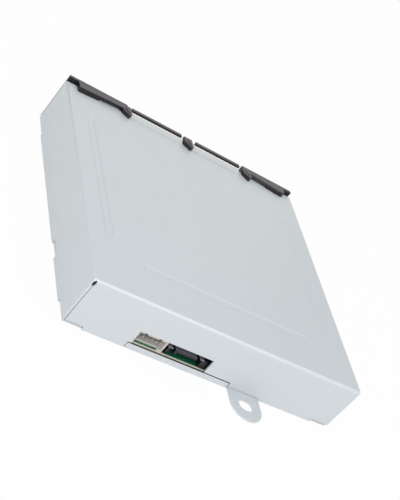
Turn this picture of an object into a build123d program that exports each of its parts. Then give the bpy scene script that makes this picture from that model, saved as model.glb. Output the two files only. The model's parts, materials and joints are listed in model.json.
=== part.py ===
from build123d import *
import os
from math import acos, asin, atan2, cos, degrees, hypot, pi, radians, sin

# Slot-loading optical drive. Millimetres, +Z up, disc slot to -Y, sockets to +Y.
# The origin is the centre of the underside of the metal case.

# Metal case
case_width = 130.0
case_depth = 131.0
case_height = 22.9
sheet = 0.8
cover_bend = 1.2
side_bend = 0.6
wall_gap = 0.2
half_width = case_width / 2
half_depth = case_depth / 2
cover_inside_x = half_width - sheet
cover_inside_y = half_depth - sheet
cover_inside_z = case_height - sheet

# Stamped grooves of the cover: (x centre, y centre, length, turn)
rib_depth = 0.3
rib_width = 3.8
rib_corner = 1.0
rib_slope = 65.0
ribs = [
    (half_width - 10.2, -4.9, 78.5, 90),
    (-half_width + 9.8, -5.4, 78.7, 90),
    (0.4, -half_depth + 21.2, 83.8, 0),
    (-0.4, half_depth - 20.1, 82.0, 0),
]

# Cover edges
seam_width = 0.3
seam_relief_height = 3.0
seam_relief_width = 1.3
lip_spans = [(-31.5, -3.3), (2.1, 31.0)]
lip_depth = 2.75
lip_rise = 1.1
window_left = 1.45
window_right = 35.9
window_bottom = 2.9
window_top = 9.7
strip_left = -11.4
strip_right = 37.0
strip_height = 2.7
strip_gap = 0.4
corner_step = 1.6
corner_step_length = 8.4
side_notch_start = 21.3
side_notch_end = 30.7
side_notch_height = 2.4
side_front_step = 0.9
side_front_step_length = 13.2
side_rear_step = 1.2
side_rear_step_length = 10.8

# Fixing ear
ear_x = -19.6
ear_width = 15.4
ear_reach = 14.6
ear_slot_length = 7.0
ear_slot_width = 5.4
ear_slot_reach = 6.7

# Plastic front
bezel_thickness = 2.8
bezel_proud = 2.0
bezel_half_width = half_width - 0.7
bezel_bottom = 0.9
bezel_corner = 0.6
bezel_cover_gap = 0.1
bezel_joint_depth = 1.2
slot_half_width = half_width - 3.8
slot_bottom = 15.8
slot_top = 19.2
felt_recess = 0.8
felt_thickness = 1.5
hook_reach = 5.4
hook_width = 4.6
hook_places = [34.2, -0.6, -35.7]
hook_slash_length = 4.0
hook_slash_width = 0.8
hook_slash_angle = 125.0
strip_spans = [(3.1, 31.0), (-31.5, -5.4)]
strip_thickness = 1.9
strip_setback = 0.6
wing_end = half_width - 5.4
wing_start = 33.5
wing_rear = [(0.0, 4.2), (4.6, 4.0), (12.6, 3.0), (19.6, 2.1), (26.1, 1.2)]
wing_undercut = 0.9
end_block_thickness = 1.7

# Disc path
disc_thickness = 1.2
load_height = 16.8
play_height = 17.4
spindle_y = 2.0

# Loader frame
frame_wall = 0.9
frame_out_x = half_width - sheet - wall_gap
frame_in_x = frame_out_x - frame_wall
frame_bottom = 0.9
frame_top = 21.9
frame_floor = 0.8
floor_top = frame_bottom + frame_floor
frame_front_y = -half_depth + 0.3
frame_rear_y = half_depth - sheet - 0.5
front_wall_top = 15.0
rear_wall_bottom = 10.6
rail_width = 2.3
rail_bottom = 15.2
rail_top = 16.2
bridge_height = 20.2
bridge_depth = 28.0
bridge_screw_inset = 1.5
bridge_screw_spacing = 20.0
bridge_screw_radius = 0.6
tab_start = 20.5
tab_length = 11.5
tab_height = 7.0
corner_post_top = 12.6

# Feed roller
roller_y = frame_front_y + 5.2
roller_z = 13.2
roller_drop = 4.0
roller_end_radius = 3.9
roller_middle_radius = 3.0
roller_middle_gap = 4.0
roller_shaft_radius = 1.25
arm_x = frame_in_x - 3.7
arm_thickness = 0.8
roller_half_length = arm_x - 2.4
pivot_y = roller_y + 13.9
pivot_z = roller_z - roller_drop / 2
running_gap = 0.05

# Loading gears
tooth_module = 0.5
gear_width = 1.0
roller_teeth = 10
idler_teeth = 10
transfer_teeth = 20
pinion_teeth = 10
wheel_teeth = 18
wheel_module = 0.4
inner_gear_x = frame_in_x - 2.5
outer_gear_x = frame_in_x - 1.25
gear_post_radius = 0.6
tube_radius = 1.5
wheel_x = frame_in_x - 11.6
wheel_width = 3.0
worm_radius = 1.95
worm_length = 8.0
wheel_tip_gap = 0.15

# Loading motor
motor_width = 12.0
motor_height = 7.2
motor_length = 16.0
motor_front_y = pivot_y + 5.1
motor_shaft_radius = 0.5
motor_wall_x = wheel_x - 6.9
motor_wall_thickness = 1.8

# Cam sliders
slide_travel = 12.0
slider_x = frame_in_x - 2.6
slider_thickness = 1.0
slider_bottom = 2.0
slider_front_top = 5.6
slider_low_top = 9.0
slider_high_top = 12.6
cam_pin_radius = 1.0
cam_slot_gap = 0.3
bracket_pin_y = pivot_y + 8.1
bracket_pin_z = 5.0
lift_pin_y = spindle_y - 18.0
lift_pin_play_z = 9.4
foot_y = pivot_y + 2.1
foot_depth = 4.0
foot_bottom = 3.2
foot_thickness = 1.0
rack_length = 12.0
rack_gap = 0.2
tail_bottom = 10.4

# Sync lever
lever_y = foot_y - slide_travel / 2
lever_pin_x = slider_x - 2.5
lever_bottom = 1.9
lever_thickness = 1.0
lever_width = 4.0
lever_pin_radius = 1.0
lever_post_radius = 1.5
foot_inner_x = lever_pin_x - 1.2

# Trigger lever
trigger_x = frame_in_x - 9.1
trigger_y = frame_rear_y - 10.2
trigger_arm = 24.1
trigger_play_angle = 174.8
trigger_turn = 18.0
trigger_bottom = 13.4
trigger_thickness = 1.0
trigger_pin_radius = 1.2
trigger_post_radius = 1.5
tail_end_y = trigger_y - 6.0

# Lift frame and traverse, stated at their raised, playing height
hinge_y = frame_rear_y - 10.2
hinge_z = 8.0
lift_height = 4.0
hinge_pin_radius = 1.5
hinge_block_depth = 4.5
lift_bottom = 7.4
lift_thickness = 1.6
lift_half_width = slider_x - 1.5
lift_front_y = spindle_y - 24.0
damper_radius = 3.0
deck_bottom = 9.8
deck_thickness = 0.8
feed_angle = 135.0
rod_spacing = 36.0
rod_radius = 1.25
rod_z = 12.0
window_half = 15.6

# Pickup
lens_inner = 24.0
lens_outer = 57.3
sled_ahead = 5.6
sled_behind = 9.0
sled_bottom = 8.8
sled_top = 14.4
lens_top = 16.4
focus_travel = 0.4
rod_start = lens_inner - sled_behind
rod_end = lens_outer + sled_ahead - 0.4
window_start = lens_inner - sled_behind - 1.5
window_end = lens_outer + sled_ahead + 3.6

# Lead screw
screw_side = 22.6
screw_radius = 1.25
sled_motor_radius = 4.0
sled_motor_length = 11.0
sled_motor_start = -3.0
flange_thickness = 0.8
screw_end = 55.5

# Spindle
rotor_radius = 13.0
rotor_bottom = 11.3
rotor_top = 15.2
turntable_radius = 15.0
turntable_thickness = 1.4
pad_thickness = 0.3
hub_radius = 7.45
hub_height = 2.2
spindle_shaft_radius = 1.0
stator_radius = 11.0

# Disc clamp
clamp_radius = 14.0
clamp_hole_radius = 11.0
clamp_neck_radius = 10.3
clamp_flange_radius = 12.6
clamp_bottom = play_height + disc_thickness

# Electronics
board_bottom = 1.5
board_thickness = 1.2
board_top = board_bottom + board_thickness
board_left = -24.0
board_right = frame_in_x - 5.1
board_rear = cover_inside_y - 0.4
board_front = board_rear - 40.3
board_screw_radius = 0.8
sata_width = 17.3
sata_centre = 12.0
sata_depth = 9.0
sata_height = 4.2
socket_recess = 1.0
power_width = 13.9
power_centre = 28.6
power_depth = 8.0
power_height = 5.8
power_pitch = 2.0
power_pin_count = 6
flex_thickness = 0.15
flex_width = 5.0

bezel_front_y = -half_depth - bezel_thickness
bezel_back_y = -half_depth - bezel_cover_gap
lip_top = case_height + bezel_proud
rail_inner_x = frame_in_x - rail_width
lift_angle = degrees(asin(lift_height / (hinge_y - spindle_y)))
arm_length = hypot(roller_y - pivot_y, roller_z - pivot_z)
swing_angle = 2 * degrees(asin(roller_drop / 2 / arm_length))


def save(piece, name):
    """Labels a finished piece and writes it as its own file."""
    piece.part.label = name
    export_step(piece.part, f"parts/{name}.step")


def block(x, y, z, mode=Mode.ADD):
    """A box between two values on each axis."""
    with Locations((x[0], y[0], z[0])):
        Box(x[1] - x[0], y[1] - y[0], z[1] - z[0], align=(Align.MIN, Align.MIN, Align.MIN), mode=mode)


def across(x):
    """The plane square to X at x, with local axes Y and Z."""
    return Plane.YZ.offset(x)


def rest_point(x, y, z):
    """Where a point of the raised traverse lies when the traverse is down."""
    a = radians(lift_angle)
    dy = y - hinge_y
    dz = z - hinge_z
    return (x, hinge_y + dy * cos(a) - dz * sin(a), hinge_z + dy * sin(a) + dz * cos(a))


def rest_direction(x, y, z):
    """A direction of the raised traverse when the traverse is down."""
    a = radians(lift_angle)
    return (x, y * cos(a) - z * sin(a), y * sin(a) + z * cos(a))


def facing_down(z):
    """The level plane at height z that faces down; its local Y runs backwards."""
    return Plane(origin=(0, 0, z), x_dir=(1, 0, 0), z_dir=(0, 0, -1))


def lifted(z):
    """The tilted plane that is level at height z when the traverse is up; local X and Y as the row."""
    return Plane(origin=rest_point(0, 0, z), x_dir=(1, 0, 0), z_dir=rest_direction(0, 0, 1))


def feed_plane(z):
    """As lifted, but centred on the spindle with local X along the pickup's travel."""
    a = radians(feed_angle)
    return Plane(
        origin=rest_point(0, spindle_y, z),
        x_dir=rest_direction(cos(a), sin(a), 0),
        z_dir=rest_direction(0, 0, 1),
    )


def along_feed(start, side, z):
    """The plane square to the pickup's travel at a distance from the spindle."""
    a = radians(feed_angle)
    x = start * cos(a) - side * sin(a)
    y = spindle_y + start * sin(a) + side * cos(a)
    return Plane(
        origin=rest_point(x, y, z),
        x_dir=rest_direction(-sin(a), cos(a), 0),
        z_dir=rest_direction(cos(a), sin(a), 0),
    )


def gear_outline(teeth, module, phase):
    """Adds a spur gear with slim straight-sided teeth to the sketch in work."""
    pitch_radius = teeth * module / 2
    root = pitch_radius - 1.1 * module
    tip = pitch_radius + 0.85 * module
    root_half = 0.62 * module
    tip_half = 0.28 * module
    Circle(root)
    with PolarLocations(0, teeth, start_angle=phase):
        Polygon(
            (root * 0.9, -root_half),
            (tip, -tip_half),
            (tip, tip_half),
            (root * 0.9, root_half),
            align=None,
        )


def direction(start, end):
    """The angle from one point to another in degrees."""
    return degrees(atan2(end[1] - start[1], end[0] - start[0]))


def mesh_phase(phase, teeth, heading, next_teeth):
    """The phase of the next gear that puts its teeth in the gaps of the gear before it."""
    return heading + 180 + (heading - phase) * teeth / next_teeth - 180 / next_teeth


def slot_outline(start, end, width):
    """A slot with round ends between two points of the sketch in work."""
    middle = ((start[0] + end[0]) / 2, (start[1] + end[1]) / 2)
    length = hypot(end[0] - start[0], end[1] - start[1])
    with Locations(middle):
        SlotCenterToCenter(length, width, rotation=direction(start, end))


os.makedirs("parts", exist_ok=True)

# Gear centres in Y and Z. The idler stands square to the roller's arm, so the roller's
# gear leaves its teeth straight down when the bracket swings.
roller_centre = (roller_y, roller_z)
pivot_centre = (pivot_y, pivot_z)
arm_angle = radians(direction(pivot_centre, roller_centre))
idler_distance = tooth_module * (roller_teeth + idler_teeth) / 2
idler_centre = (roller_y + idler_distance * sin(arm_angle), roller_z - idler_distance * cos(arm_angle))
transfer_distance = tooth_module * (idler_teeth + transfer_teeth) / 2
pinion_distance = tooth_module * (transfer_teeth + pinion_teeth) / 2
base_distance = hypot(idler_centre[0] - pivot_y, idler_centre[1] - pivot_z)
base_angle = atan2(idler_centre[1] - pivot_z, idler_centre[0] - pivot_y)
lean = acos(
    (pinion_distance**2 + base_distance**2 - transfer_distance**2) / (2 * pinion_distance * base_distance)
)
transfer_centre = (
    pivot_y + pinion_distance * cos(base_angle - lean),
    pivot_z + pinion_distance * sin(base_angle - lean),
)
roller_phase = direction(roller_centre, idler_centre)
idler_phase = mesh_phase(roller_phase, roller_teeth, roller_phase, idler_teeth)
transfer_phase = mesh_phase(
    idler_phase, idler_teeth, direction(idler_centre, transfer_centre), transfer_teeth
)
pinion_phase = mesh_phase(
    transfer_phase, transfer_teeth, direction(transfer_centre, pivot_centre), pinion_teeth
)
wheel_radius = wheel_teeth * wheel_module / 2
worm_x = wheel_x + wheel_width / 2
worm_z = pivot_z - wheel_radius - 0.85 * wheel_module - worm_radius - wheel_tip_gap

# Top cover: one folded sheet with side walls and a rear wall, open to the front and below
with BuildPart() as top_cover:
    block((-half_width, half_width), (-half_depth, half_depth), (0, case_height))
    fillet(top_cover.edges().group_by(Axis.Z)[-1].filter_by(Axis.Y), side_bend)
    fillet(top_cover.edges().group_by(Axis.Z)[-1].filter_by(Axis.X).sort_by(Axis.Y)[-1], cover_bend)
    block(
        (-cover_inside_x, cover_inside_x),
        (-half_depth - 1, cover_inside_y),
        (-1, cover_inside_z),
        Mode.SUBTRACT,
    )
    # Stiffening grooves with sloping walls, raised inside and sunk outside
    for face_height, mode in ((cover_inside_z, Mode.ADD), (case_height, Mode.SUBTRACT)):
        for x, y, length, turn in ribs:
            with BuildSketch(facing_down(face_height)):
                with Locations((x, -y)):
                    RectangleRounded(length, rib_width, rib_corner, rotation=turn)
            extrude(amount=rib_depth, taper=rib_slope, mode=mode)
    # Front margin bent up towards the front's strips, in the two spans between its hooks
    for start, end in lip_spans:
        block(
            (start, end),
            (-half_depth - 1, -half_depth + lip_depth),
            (cover_inside_z - 1, case_height + 1),
            Mode.SUBTRACT,
        )
        with BuildSketch(across(start)):
            with BuildLine():
                Polyline(
                    (-half_depth + lip_depth, cover_inside_z),
                    (-half_depth + lip_depth, case_height),
                    (-half_depth, case_height + lip_rise),
                    (-half_depth, cover_inside_z + lip_rise),
                    close=True,
                )
            make_face()
        extrude(amount=end - start)
    # Open seams at the rear corners, each with its relief hole at the bend
    for side in (-1, 1):
        seam_x = side * (cover_inside_x - seam_width / 2)
        block(
            (seam_x - seam_width / 2, seam_x + seam_width / 2),
            (cover_inside_y - 1, half_depth + 1),
            (-1, case_height - seam_relief_height),
            Mode.SUBTRACT,
        )
        with BuildSketch(Plane.XZ.offset(-half_depth - 1)):
            with Locations((seam_x - side * 0.1, case_height - 0.5 - seam_relief_height / 2)):
                Ellipse(seam_relief_width / 2, seam_relief_height / 2)
        extrude(amount=2 + sheet, mode=Mode.SUBTRACT)
        # Raised lower edge at both ends of the rear wall
        block(
            sorted((side * (cover_inside_x - corner_step_length), side * cover_inside_x)),
            (cover_inside_y - 0.5, half_depth + 1),
            (-1, corner_step),
            Mode.SUBTRACT,
        )
        # Stepped lower edge of the side walls
        wall_span = sorted((side * (cover_inside_x - 1), side * (half_width + 1)))
        block(
            wall_span,
            (-half_depth - 1, -half_depth + side_front_step_length),
            (-1, side_front_step),
            Mode.SUBTRACT,
        )
        block(wall_span, (side_notch_start, side_notch_end), (-1, side_notch_height), Mode.SUBTRACT)
        block(
            wall_span,
            (half_depth - side_rear_step_length, half_depth + 1),
            (-1, side_rear_step),
            Mode.SUBTRACT,
        )
    block(
        (window_left, window_right),
        (cover_inside_y - 1, half_depth + 1),
        (window_bottom, window_top),
        Mode.SUBTRACT,
    )
    block(
        (strip_left - strip_gap, strip_right + strip_gap),
        (cover_inside_y - 1, half_depth + 1),
        (-1, strip_height + strip_gap),
        Mode.SUBTRACT,
    )
    block(
        (ear_x - ear_width / 2 - strip_gap, strip_left),
        (cover_inside_y - 1, half_depth + 1),
        (-1, sheet + wall_gap),
        Mode.SUBTRACT,
    )
save(top_cover, "top_cover")

# Bottom pan: flat sheet with side tabs, the flush rear strip and the slotted ear
pan_half_width = cover_inside_x - 0.1
pan_rear = cover_inside_y - 0.1
ear_left = ear_x - ear_width / 2
ear_right = ear_x + ear_width / 2
ear_shoulder = half_depth + ear_reach - ear_width / 2
with BuildPart() as bottom_pan:
    block((-pan_half_width, pan_half_width), (-half_depth + 0.2, pan_rear), (0, sheet))
    for side in (-1, 1):
        tab_span = sorted((side * pan_half_width, side * (pan_half_width - sheet)))
        block(tab_span, (tab_start, tab_start + tab_length), (0, tab_height))
        with BuildSketch(across(side * pan_half_width)):
            with Locations((tab_start + tab_length - 2.8, side_notch_height - 0.8)):
                Circle(0.6)
        extrude(amount=-side * 0.4, mode=Mode.SUBTRACT)
    block((strip_left, strip_right), (half_depth - sheet, half_depth), (0, strip_height))
    block((strip_left, strip_right), (pan_rear - 1, half_depth), (0, sheet))
    with BuildSketch():
        with BuildLine():
            Polyline(
                (ear_left, ear_shoulder),
                (ear_left, pan_rear - 1),
                (ear_right, pan_rear - 1),
                (ear_right, ear_shoulder),
            )
            ThreePointArc(
                (ear_right, ear_shoulder),
                (ear_x, half_depth + ear_reach),
                (ear_left, ear_shoulder),
            )
        make_face()
        with Locations((ear_x, half_depth + ear_slot_reach)):
            SlotOverall(ear_slot_length, ear_slot_width, mode=Mode.SUBTRACT)
    extrude(amount=sheet)
save(bottom_pan, "bottom_pan")

# Plastic front: wall with the disc slot, wings, hooks and strips that reach over the cover
joint_bottom = case_height - bezel_joint_depth
with BuildPart() as front_bezel:
    block((-bezel_half_width, bezel_half_width), (bezel_front_y, bezel_back_y), (bezel_bottom, lip_top))
    fillet(front_bezel.edges().filter_by(Axis.Z), bezel_corner)
    block(
        (-wing_end, wing_end),
        (bezel_front_y - 1, bezel_back_y + 1),
        (joint_bottom, lip_top + 1),
        Mode.SUBTRACT,
    )
    # Thinner end blocks beside the wings
    for side in (-1, 1):
        block(
            sorted((side * wing_end, side * (half_width + 1))),
            (bezel_front_y + end_block_thickness, bezel_back_y + 1),
            (joint_bottom, lip_top + 1),
            Mode.SUBTRACT,
        )
        # Wing over the cover on its block above the wall
        block(
            sorted((side * wing_end, side * wing_start)),
            (bezel_front_y, bezel_back_y),
            (joint_bottom, lip_top),
        )
        rear_points = [(side * (wing_end - inset), -half_depth + reach) for inset, reach in wing_rear]
        with BuildSketch(Plane.XY.offset(case_height)):
            with BuildLine():
                Polyline(
                    (side * wing_start, rear_points[-1][1]),
                    (side * wing_start, bezel_front_y + bezel_corner),
                    (side * wing_end, bezel_front_y + bezel_corner),
                    rear_points[0],
                )
                Spline(*rear_points)
            make_face()
        extrude(amount=bezel_proud)
        # Hollow under the wing beside its hook
        block(
            sorted((side * (wing_start + 4), side * (wing_start + 15))),
            (bezel_back_y + wing_undercut, -half_depth + hook_reach),
            (case_height, case_height + wing_undercut),
            Mode.SUBTRACT,
        )
    # Slant-ended hooks, each with a slanting recess in its top
    hook_front = bezel_front_y + strip_setback + 0.5
    hook_rear = -half_depth + hook_reach
    for x in hook_places:
        left = x + hook_width / 2
        right = x - hook_width / 2
        with BuildSketch(Plane.XY.offset(case_height)):
            with BuildLine():
                Polyline(
                    (left, hook_front),
                    (right, hook_front),
                    (right, hook_rear - 1.1),
                    (right + 1.3, hook_rear),
                    (left, hook_rear - 2.7),
                    close=True,
                )
            make_face()
        extrude(amount=bezel_proud)
        block((right, left), (hook_front, bezel_back_y), (joint_bottom, case_height))
        with BuildSketch(Plane.XY.offset(lip_top - hook_slash_width)):
            with Locations((x, hook_rear - 3.1)):
                SlotOverall(hook_slash_length, hook_slash_width, rotation=hook_slash_angle)
        extrude(amount=hook_slash_width, mode=Mode.SUBTRACT)
    for start, end in strip_spans:
        block(
            (start, end),
            (bezel_front_y + strip_setback, bezel_front_y + strip_setback + strip_thickness),
            (joint_bottom, lip_top),
        )
    # Disc slot, with the pocket behind it for the felt strips
    block(
        (-slot_half_width, slot_half_width),
        (bezel_front_y - 1, bezel_back_y + 1),
        (slot_bottom, slot_top),
        Mode.SUBTRACT,
    )
    block(
        (-slot_half_width - 0.6, slot_half_width + 0.6),
        (bezel_back_y - felt_thickness, bezel_back_y + 1),
        (slot_bottom - felt_recess, slot_top + felt_recess),
        Mode.SUBTRACT,
    )
save(front_bezel, "front_bezel")

# Felt strips that wipe the disc
for name, low, high in (
    ("lower_dust_seal", slot_bottom - felt_recess, load_height - 0.3),
    ("upper_dust_seal", load_height + disc_thickness + 0.3, slot_top + felt_recess),
):
    with BuildPart() as dust_seal:
        block(
            (-slot_half_width, slot_half_width),
            (bezel_back_y - felt_thickness, bezel_back_y),
            (low, high),
        )
    save(dust_seal, name)

# Loader frame: plastic perimeter with slider ledges, bearings, posts and bridge seats
hinge_block_inner = lift_half_width + 1.6
ledge_inner = lift_half_width + 0.5
corner_front = hinge_y - hinge_block_depth
bridge_screw_places = [
    (side * (frame_in_x - bridge_screw_inset), spindle_y + along * bridge_screw_spacing / 2)
    for side in (-1, 1)
    for along in (-1, 1)
]
with BuildPart() as loader_frame:
    with BuildSketch(Plane.XY.offset(frame_bottom)):
        with Locations((0, (frame_front_y + frame_rear_y) / 2)):
            Rectangle(2 * frame_out_x, frame_rear_y - frame_front_y)
            Rectangle(2 * frame_in_x, frame_rear_y - frame_front_y - 2 * frame_wall, mode=Mode.SUBTRACT)
    extrude(amount=frame_top - frame_bottom)
    # Front wall below the disc, rear wall above the sockets
    block(
        (-frame_in_x, frame_in_x),
        (frame_front_y - 1, frame_front_y + frame_wall + 1),
        (front_wall_top, frame_top + 1),
        Mode.SUBTRACT,
    )
    block(
        (-frame_in_x + 3, frame_in_x - 3),
        (frame_rear_y - frame_wall - 1, frame_rear_y + 1),
        (frame_bottom - 1, rear_wall_bottom),
        Mode.SUBTRACT,
    )
    # Floor under the roller and the motor, and the ledges that the sliders run on
    block((-frame_in_x, frame_in_x), (frame_front_y, pivot_y - 0.9), (frame_bottom, floor_top))
    block(
        (motor_wall_x - 0.6, frame_in_x),
        (pivot_y - 1.4, motor_front_y + motor_length + 1),
        (frame_bottom, worm_z - motor_height / 2),
    )
    for side in (-1, 1):
        ledge_span = sorted((side * ledge_inner, side * frame_in_x))
        block(ledge_span, (pivot_y - 1.9, tab_start - 0.5), (frame_bottom, floor_top))
        block(ledge_span, (tab_start + tab_length - 1, frame_rear_y), (frame_bottom, floor_top))
        # Hinge bearing of the lift frame
        block(
            sorted((side * hinge_block_inner, side * frame_in_x)),
            (corner_front, frame_rear_y),
            (frame_bottom, corner_post_top),
        )
        with Locations(Location((side * frame_in_x, hinge_y, hinge_z), (0, 90, 0))):
            Cylinder(hinge_pin_radius + running_gap, 12, mode=Mode.SUBTRACT)
        # Seats of the clamp bridge
        block(
            sorted((side * rail_inner_x, side * frame_in_x)),
            (spindle_y - bridge_depth / 2, spindle_y + bridge_depth / 2),
            (bridge_height - 1.2, bridge_height),
        )
        # Pockets for the pan's tabs
        block(
            sorted((side * (pan_half_width - sheet - 0.15), side * (frame_out_x + 1))),
            (tab_start - 0.3, tab_start + tab_length + 0.3),
            (frame_bottom - 1, tab_height + 0.3),
            Mode.SUBTRACT,
        )
    with BuildSketch(Plane.XY.offset(bridge_height)):
        with Locations(*bridge_screw_places):
            Circle(bridge_screw_radius)
    extrude(amount=-2, mode=Mode.SUBTRACT)
    # Ledges under the disc's rim; the right one stops short of the gears
    for side, front in ((1, bracket_pin_y), (-1, frame_front_y + 3)):
        block(
            sorted((side * rail_inner_x, side * frame_in_x)),
            (front, hinge_y - 5),
            (rail_bottom, rail_top),
        )
    # Post of the sync lever
    with Locations((0, lever_y, floor_top)):
        Cylinder(lever_post_radius, 1.5, align=(Align.CENTER, Align.CENTER, Align.MIN))
    # Corner block that carries the trigger lever's post, hollow over the board
    block((trigger_x - 4, frame_in_x), (corner_front, frame_rear_y), (frame_bottom, 6.4))
    block(
        (trigger_x - 4, hinge_block_inner),
        (corner_front - 0.5, hinge_y + 2.5),
        (6.0, 10.4),
        Mode.SUBTRACT,
    )
    block((trigger_x - 2.5, frame_in_x), (hinge_y + 4.5, frame_rear_y), (6.0, corner_post_top))
    block(
        (trigger_x - 2.5, frame_in_x),
        (hinge_y - 2.5, frame_rear_y),
        (corner_post_top - 1.2, corner_post_top),
    )
    with Locations((trigger_x, trigger_y, corner_post_top)):
        Cylinder(trigger_post_radius, 2.6, align=(Align.CENTER, Align.CENTER, Align.MIN))
    # Wall beside the motor that carries the wheel's shaft
    wall_span = (motor_wall_x, motor_wall_x + motor_wall_thickness)
    block(wall_span, (motor_front_y - 0.5, motor_front_y + motor_length), (frame_bottom, pivot_z + 2))
    block(wall_span, (pivot_y - 2.5, motor_front_y + motor_length), (pivot_z - 3, pivot_z + 2))
    with BuildSketch(across(motor_wall_x - 1)):
        with Locations(pivot_centre):
            Circle(gear_post_radius + 0.02)
    extrude(amount=frame_out_x - motor_wall_x + 2, mode=Mode.SUBTRACT)
    # Posts of the idler and transfer gears
    for y, z, inner in ((*idler_centre, inner_gear_x - 0.1), (*transfer_centre, outer_gear_x - 0.1)):
        with BuildSketch(across(inner)):
            with Locations((y, z)):
                Circle(gear_post_radius)
        extrude(amount=frame_in_x - inner + 0.2)
    # Hole of the bracket's left pivot pin
    with Locations(Location((-frame_in_x, pivot_y, pivot_z), (0, 90, 0))):
        Cylinder(gear_post_radius + 0.02, 8, mode=Mode.SUBTRACT)
save(loader_frame, "loader_frame")

# Upper disc guide under the front of the cover
guide_bottom = load_height + disc_thickness + 0.2
guide_half_width = frame_in_x - 2.9
guide_front = frame_front_y + 2.0
guide_rear = guide_front + 17.6
with BuildPart() as upper_disc_guide:
    block(
        (-guide_half_width, guide_half_width),
        (guide_front, guide_rear),
        (guide_bottom, guide_bottom + 1.2),
    )
    for step in range(-3, 4):
        x = step * (guide_half_width - 4) / 3
        block(
            (x - 0.6, x + 0.6),
            (guide_front + 0.7, guide_rear - 0.8),
            (guide_bottom + 1, cover_inside_z),
        )
    for side in (-1, 1):
        block(
            sorted((side * (guide_half_width - 1.2), side * guide_half_width)),
            (guide_front + 0.7, guide_rear - 0.8),
            (guide_bottom - 0.15, guide_bottom + 0.1),
        )
save(upper_disc_guide, "upper_disc_guide")

# Steel bridge over the disc with the hole that holds the clamp
bridge_slot_x = frame_in_x - 27.1
with BuildPart() as clamp_bridge:
    with BuildSketch(Plane.XY.offset(bridge_height)):
        with Locations((0, spindle_y)):
            RectangleRounded(2 * frame_in_x - 0.2, bridge_depth, 2.0)
            Circle(clamp_hole_radius, mode=Mode.SUBTRACT)
        with Locations((-bridge_slot_x, spindle_y), (bridge_slot_x, spindle_y)):
            SlotOverall(bridge_depth, 12, mode=Mode.SUBTRACT)
        with Locations(*bridge_screw_places):
            Circle(bridge_screw_radius, mode=Mode.SUBTRACT)
    extrude(amount=sheet)
save(clamp_bridge, "clamp_bridge")

# Disc clamp: plastic puck that hangs in the bridge by its flange
with BuildPart() as disc_clamp:
    flange_bottom = bridge_height + sheet + 0.1
    with BuildSketch(Plane.XZ.offset(-spindle_y)):
        with BuildLine():
            Polyline(
                (0, play_height + hub_height + 0.5),
                (hub_radius + 0.6, play_height + hub_height + 0.5),
                (hub_radius + 0.6, clamp_bottom),
                (clamp_radius - 0.4, clamp_bottom),
                (clamp_radius, clamp_bottom + 0.4),
                (clamp_radius, bridge_height - 0.3),
                (clamp_neck_radius, bridge_height - 0.3),
                (clamp_neck_radius, flange_bottom),
                (clamp_flange_radius, flange_bottom),
                (clamp_flange_radius, cover_inside_z - 0.3),
                (0, cover_inside_z - 0.3),
                close=True,
            )
        make_face()
    revolve(axis=Axis((0, spindle_y, 0), (0, 0, 1)))
save(disc_clamp, "disc_clamp")

# Roller bracket: steel channel that swings on the wheel's tube and the left pivot pin
bracket_front_y = roller_y + roller_end_radius + 1.5
with BuildPart() as roller_bracket:
    block((4.4 - arm_x, arm_x - 4.4), (bracket_front_y, bracket_front_y + arm_thickness), (7.0, 13.4))
    block((-arm_x, arm_x), (bracket_front_y, bracket_front_y + arm_thickness), (9.4, 13.4))
    for side in (-1, 1):
        pivot_hole = tube_radius if side > 0 else roller_shaft_radius
        with BuildSketch(across(side * arm_x)):
            slot_outline(pivot_centre, roller_centre, 6.0)
            slot_outline(pivot_centre, (bracket_pin_y, bracket_pin_z), 4.0)
            with Locations(pivot_centre):
                Circle(pivot_hole + running_gap, mode=Mode.SUBTRACT)
            with Locations(roller_centre):
                Circle(roller_shaft_radius + running_gap, mode=Mode.SUBTRACT)
        extrude(amount=side * arm_thickness)
        with BuildSketch(across(side * arm_x)):
            with Locations((bracket_pin_y, bracket_pin_z)):
                Circle(cam_pin_radius)
        extrude(amount=side * (slider_x + slider_thickness - arm_x - 0.1))
save(roller_bracket, "roller_bracket")

# Pin in the frame's left wall that the bracket's left arm turns on
with BuildPart() as bracket_pivot_pin:
    with BuildSketch(across(-frame_in_x - 0.8)):
        with Locations(pivot_centre):
            Circle(gear_post_radius)
    extrude(amount=1.0)
    with BuildSketch(across(-frame_in_x)):
        with Locations(pivot_centre):
            Circle(roller_shaft_radius)
    extrude(amount=frame_in_x - arm_x + 1.6)
save(bracket_pivot_pin, "bracket_pivot_pin")

# Torsion spring on the left pivot pin, inside the arm
spring_wire = 0.5
with BuildPart() as bracket_spring:
    for turn in range(3):
        with BuildSketch(across(-arm_x + 0.3 + turn * (spring_wire + 0.1))):
            with Locations(pivot_centre):
                Circle(roller_shaft_radius + 0.3 + spring_wire)
                Circle(roller_shaft_radius + 0.15, mode=Mode.SUBTRACT)
        extrude(amount=spring_wire + 0.1)
    block((-arm_x + 0.3, -arm_x + 0.8), (pivot_y - 7.0, pivot_y), (pivot_z + 1.45, pivot_z + 1.95))
save(bracket_spring, "bracket_spring")

# Feed roller: steel shaft, two rubber sleeves that taper to the middle, and its gear
with BuildPart() as roller_shaft:
    with BuildSketch(across(-arm_x - arm_thickness - 0.9)):
        with Locations(roller_centre):
            Circle(roller_shaft_radius)
    extrude(amount=arm_x + arm_thickness + 0.9 + inner_gear_x + gear_width)
save(roller_shaft, "roller_shaft")

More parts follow.
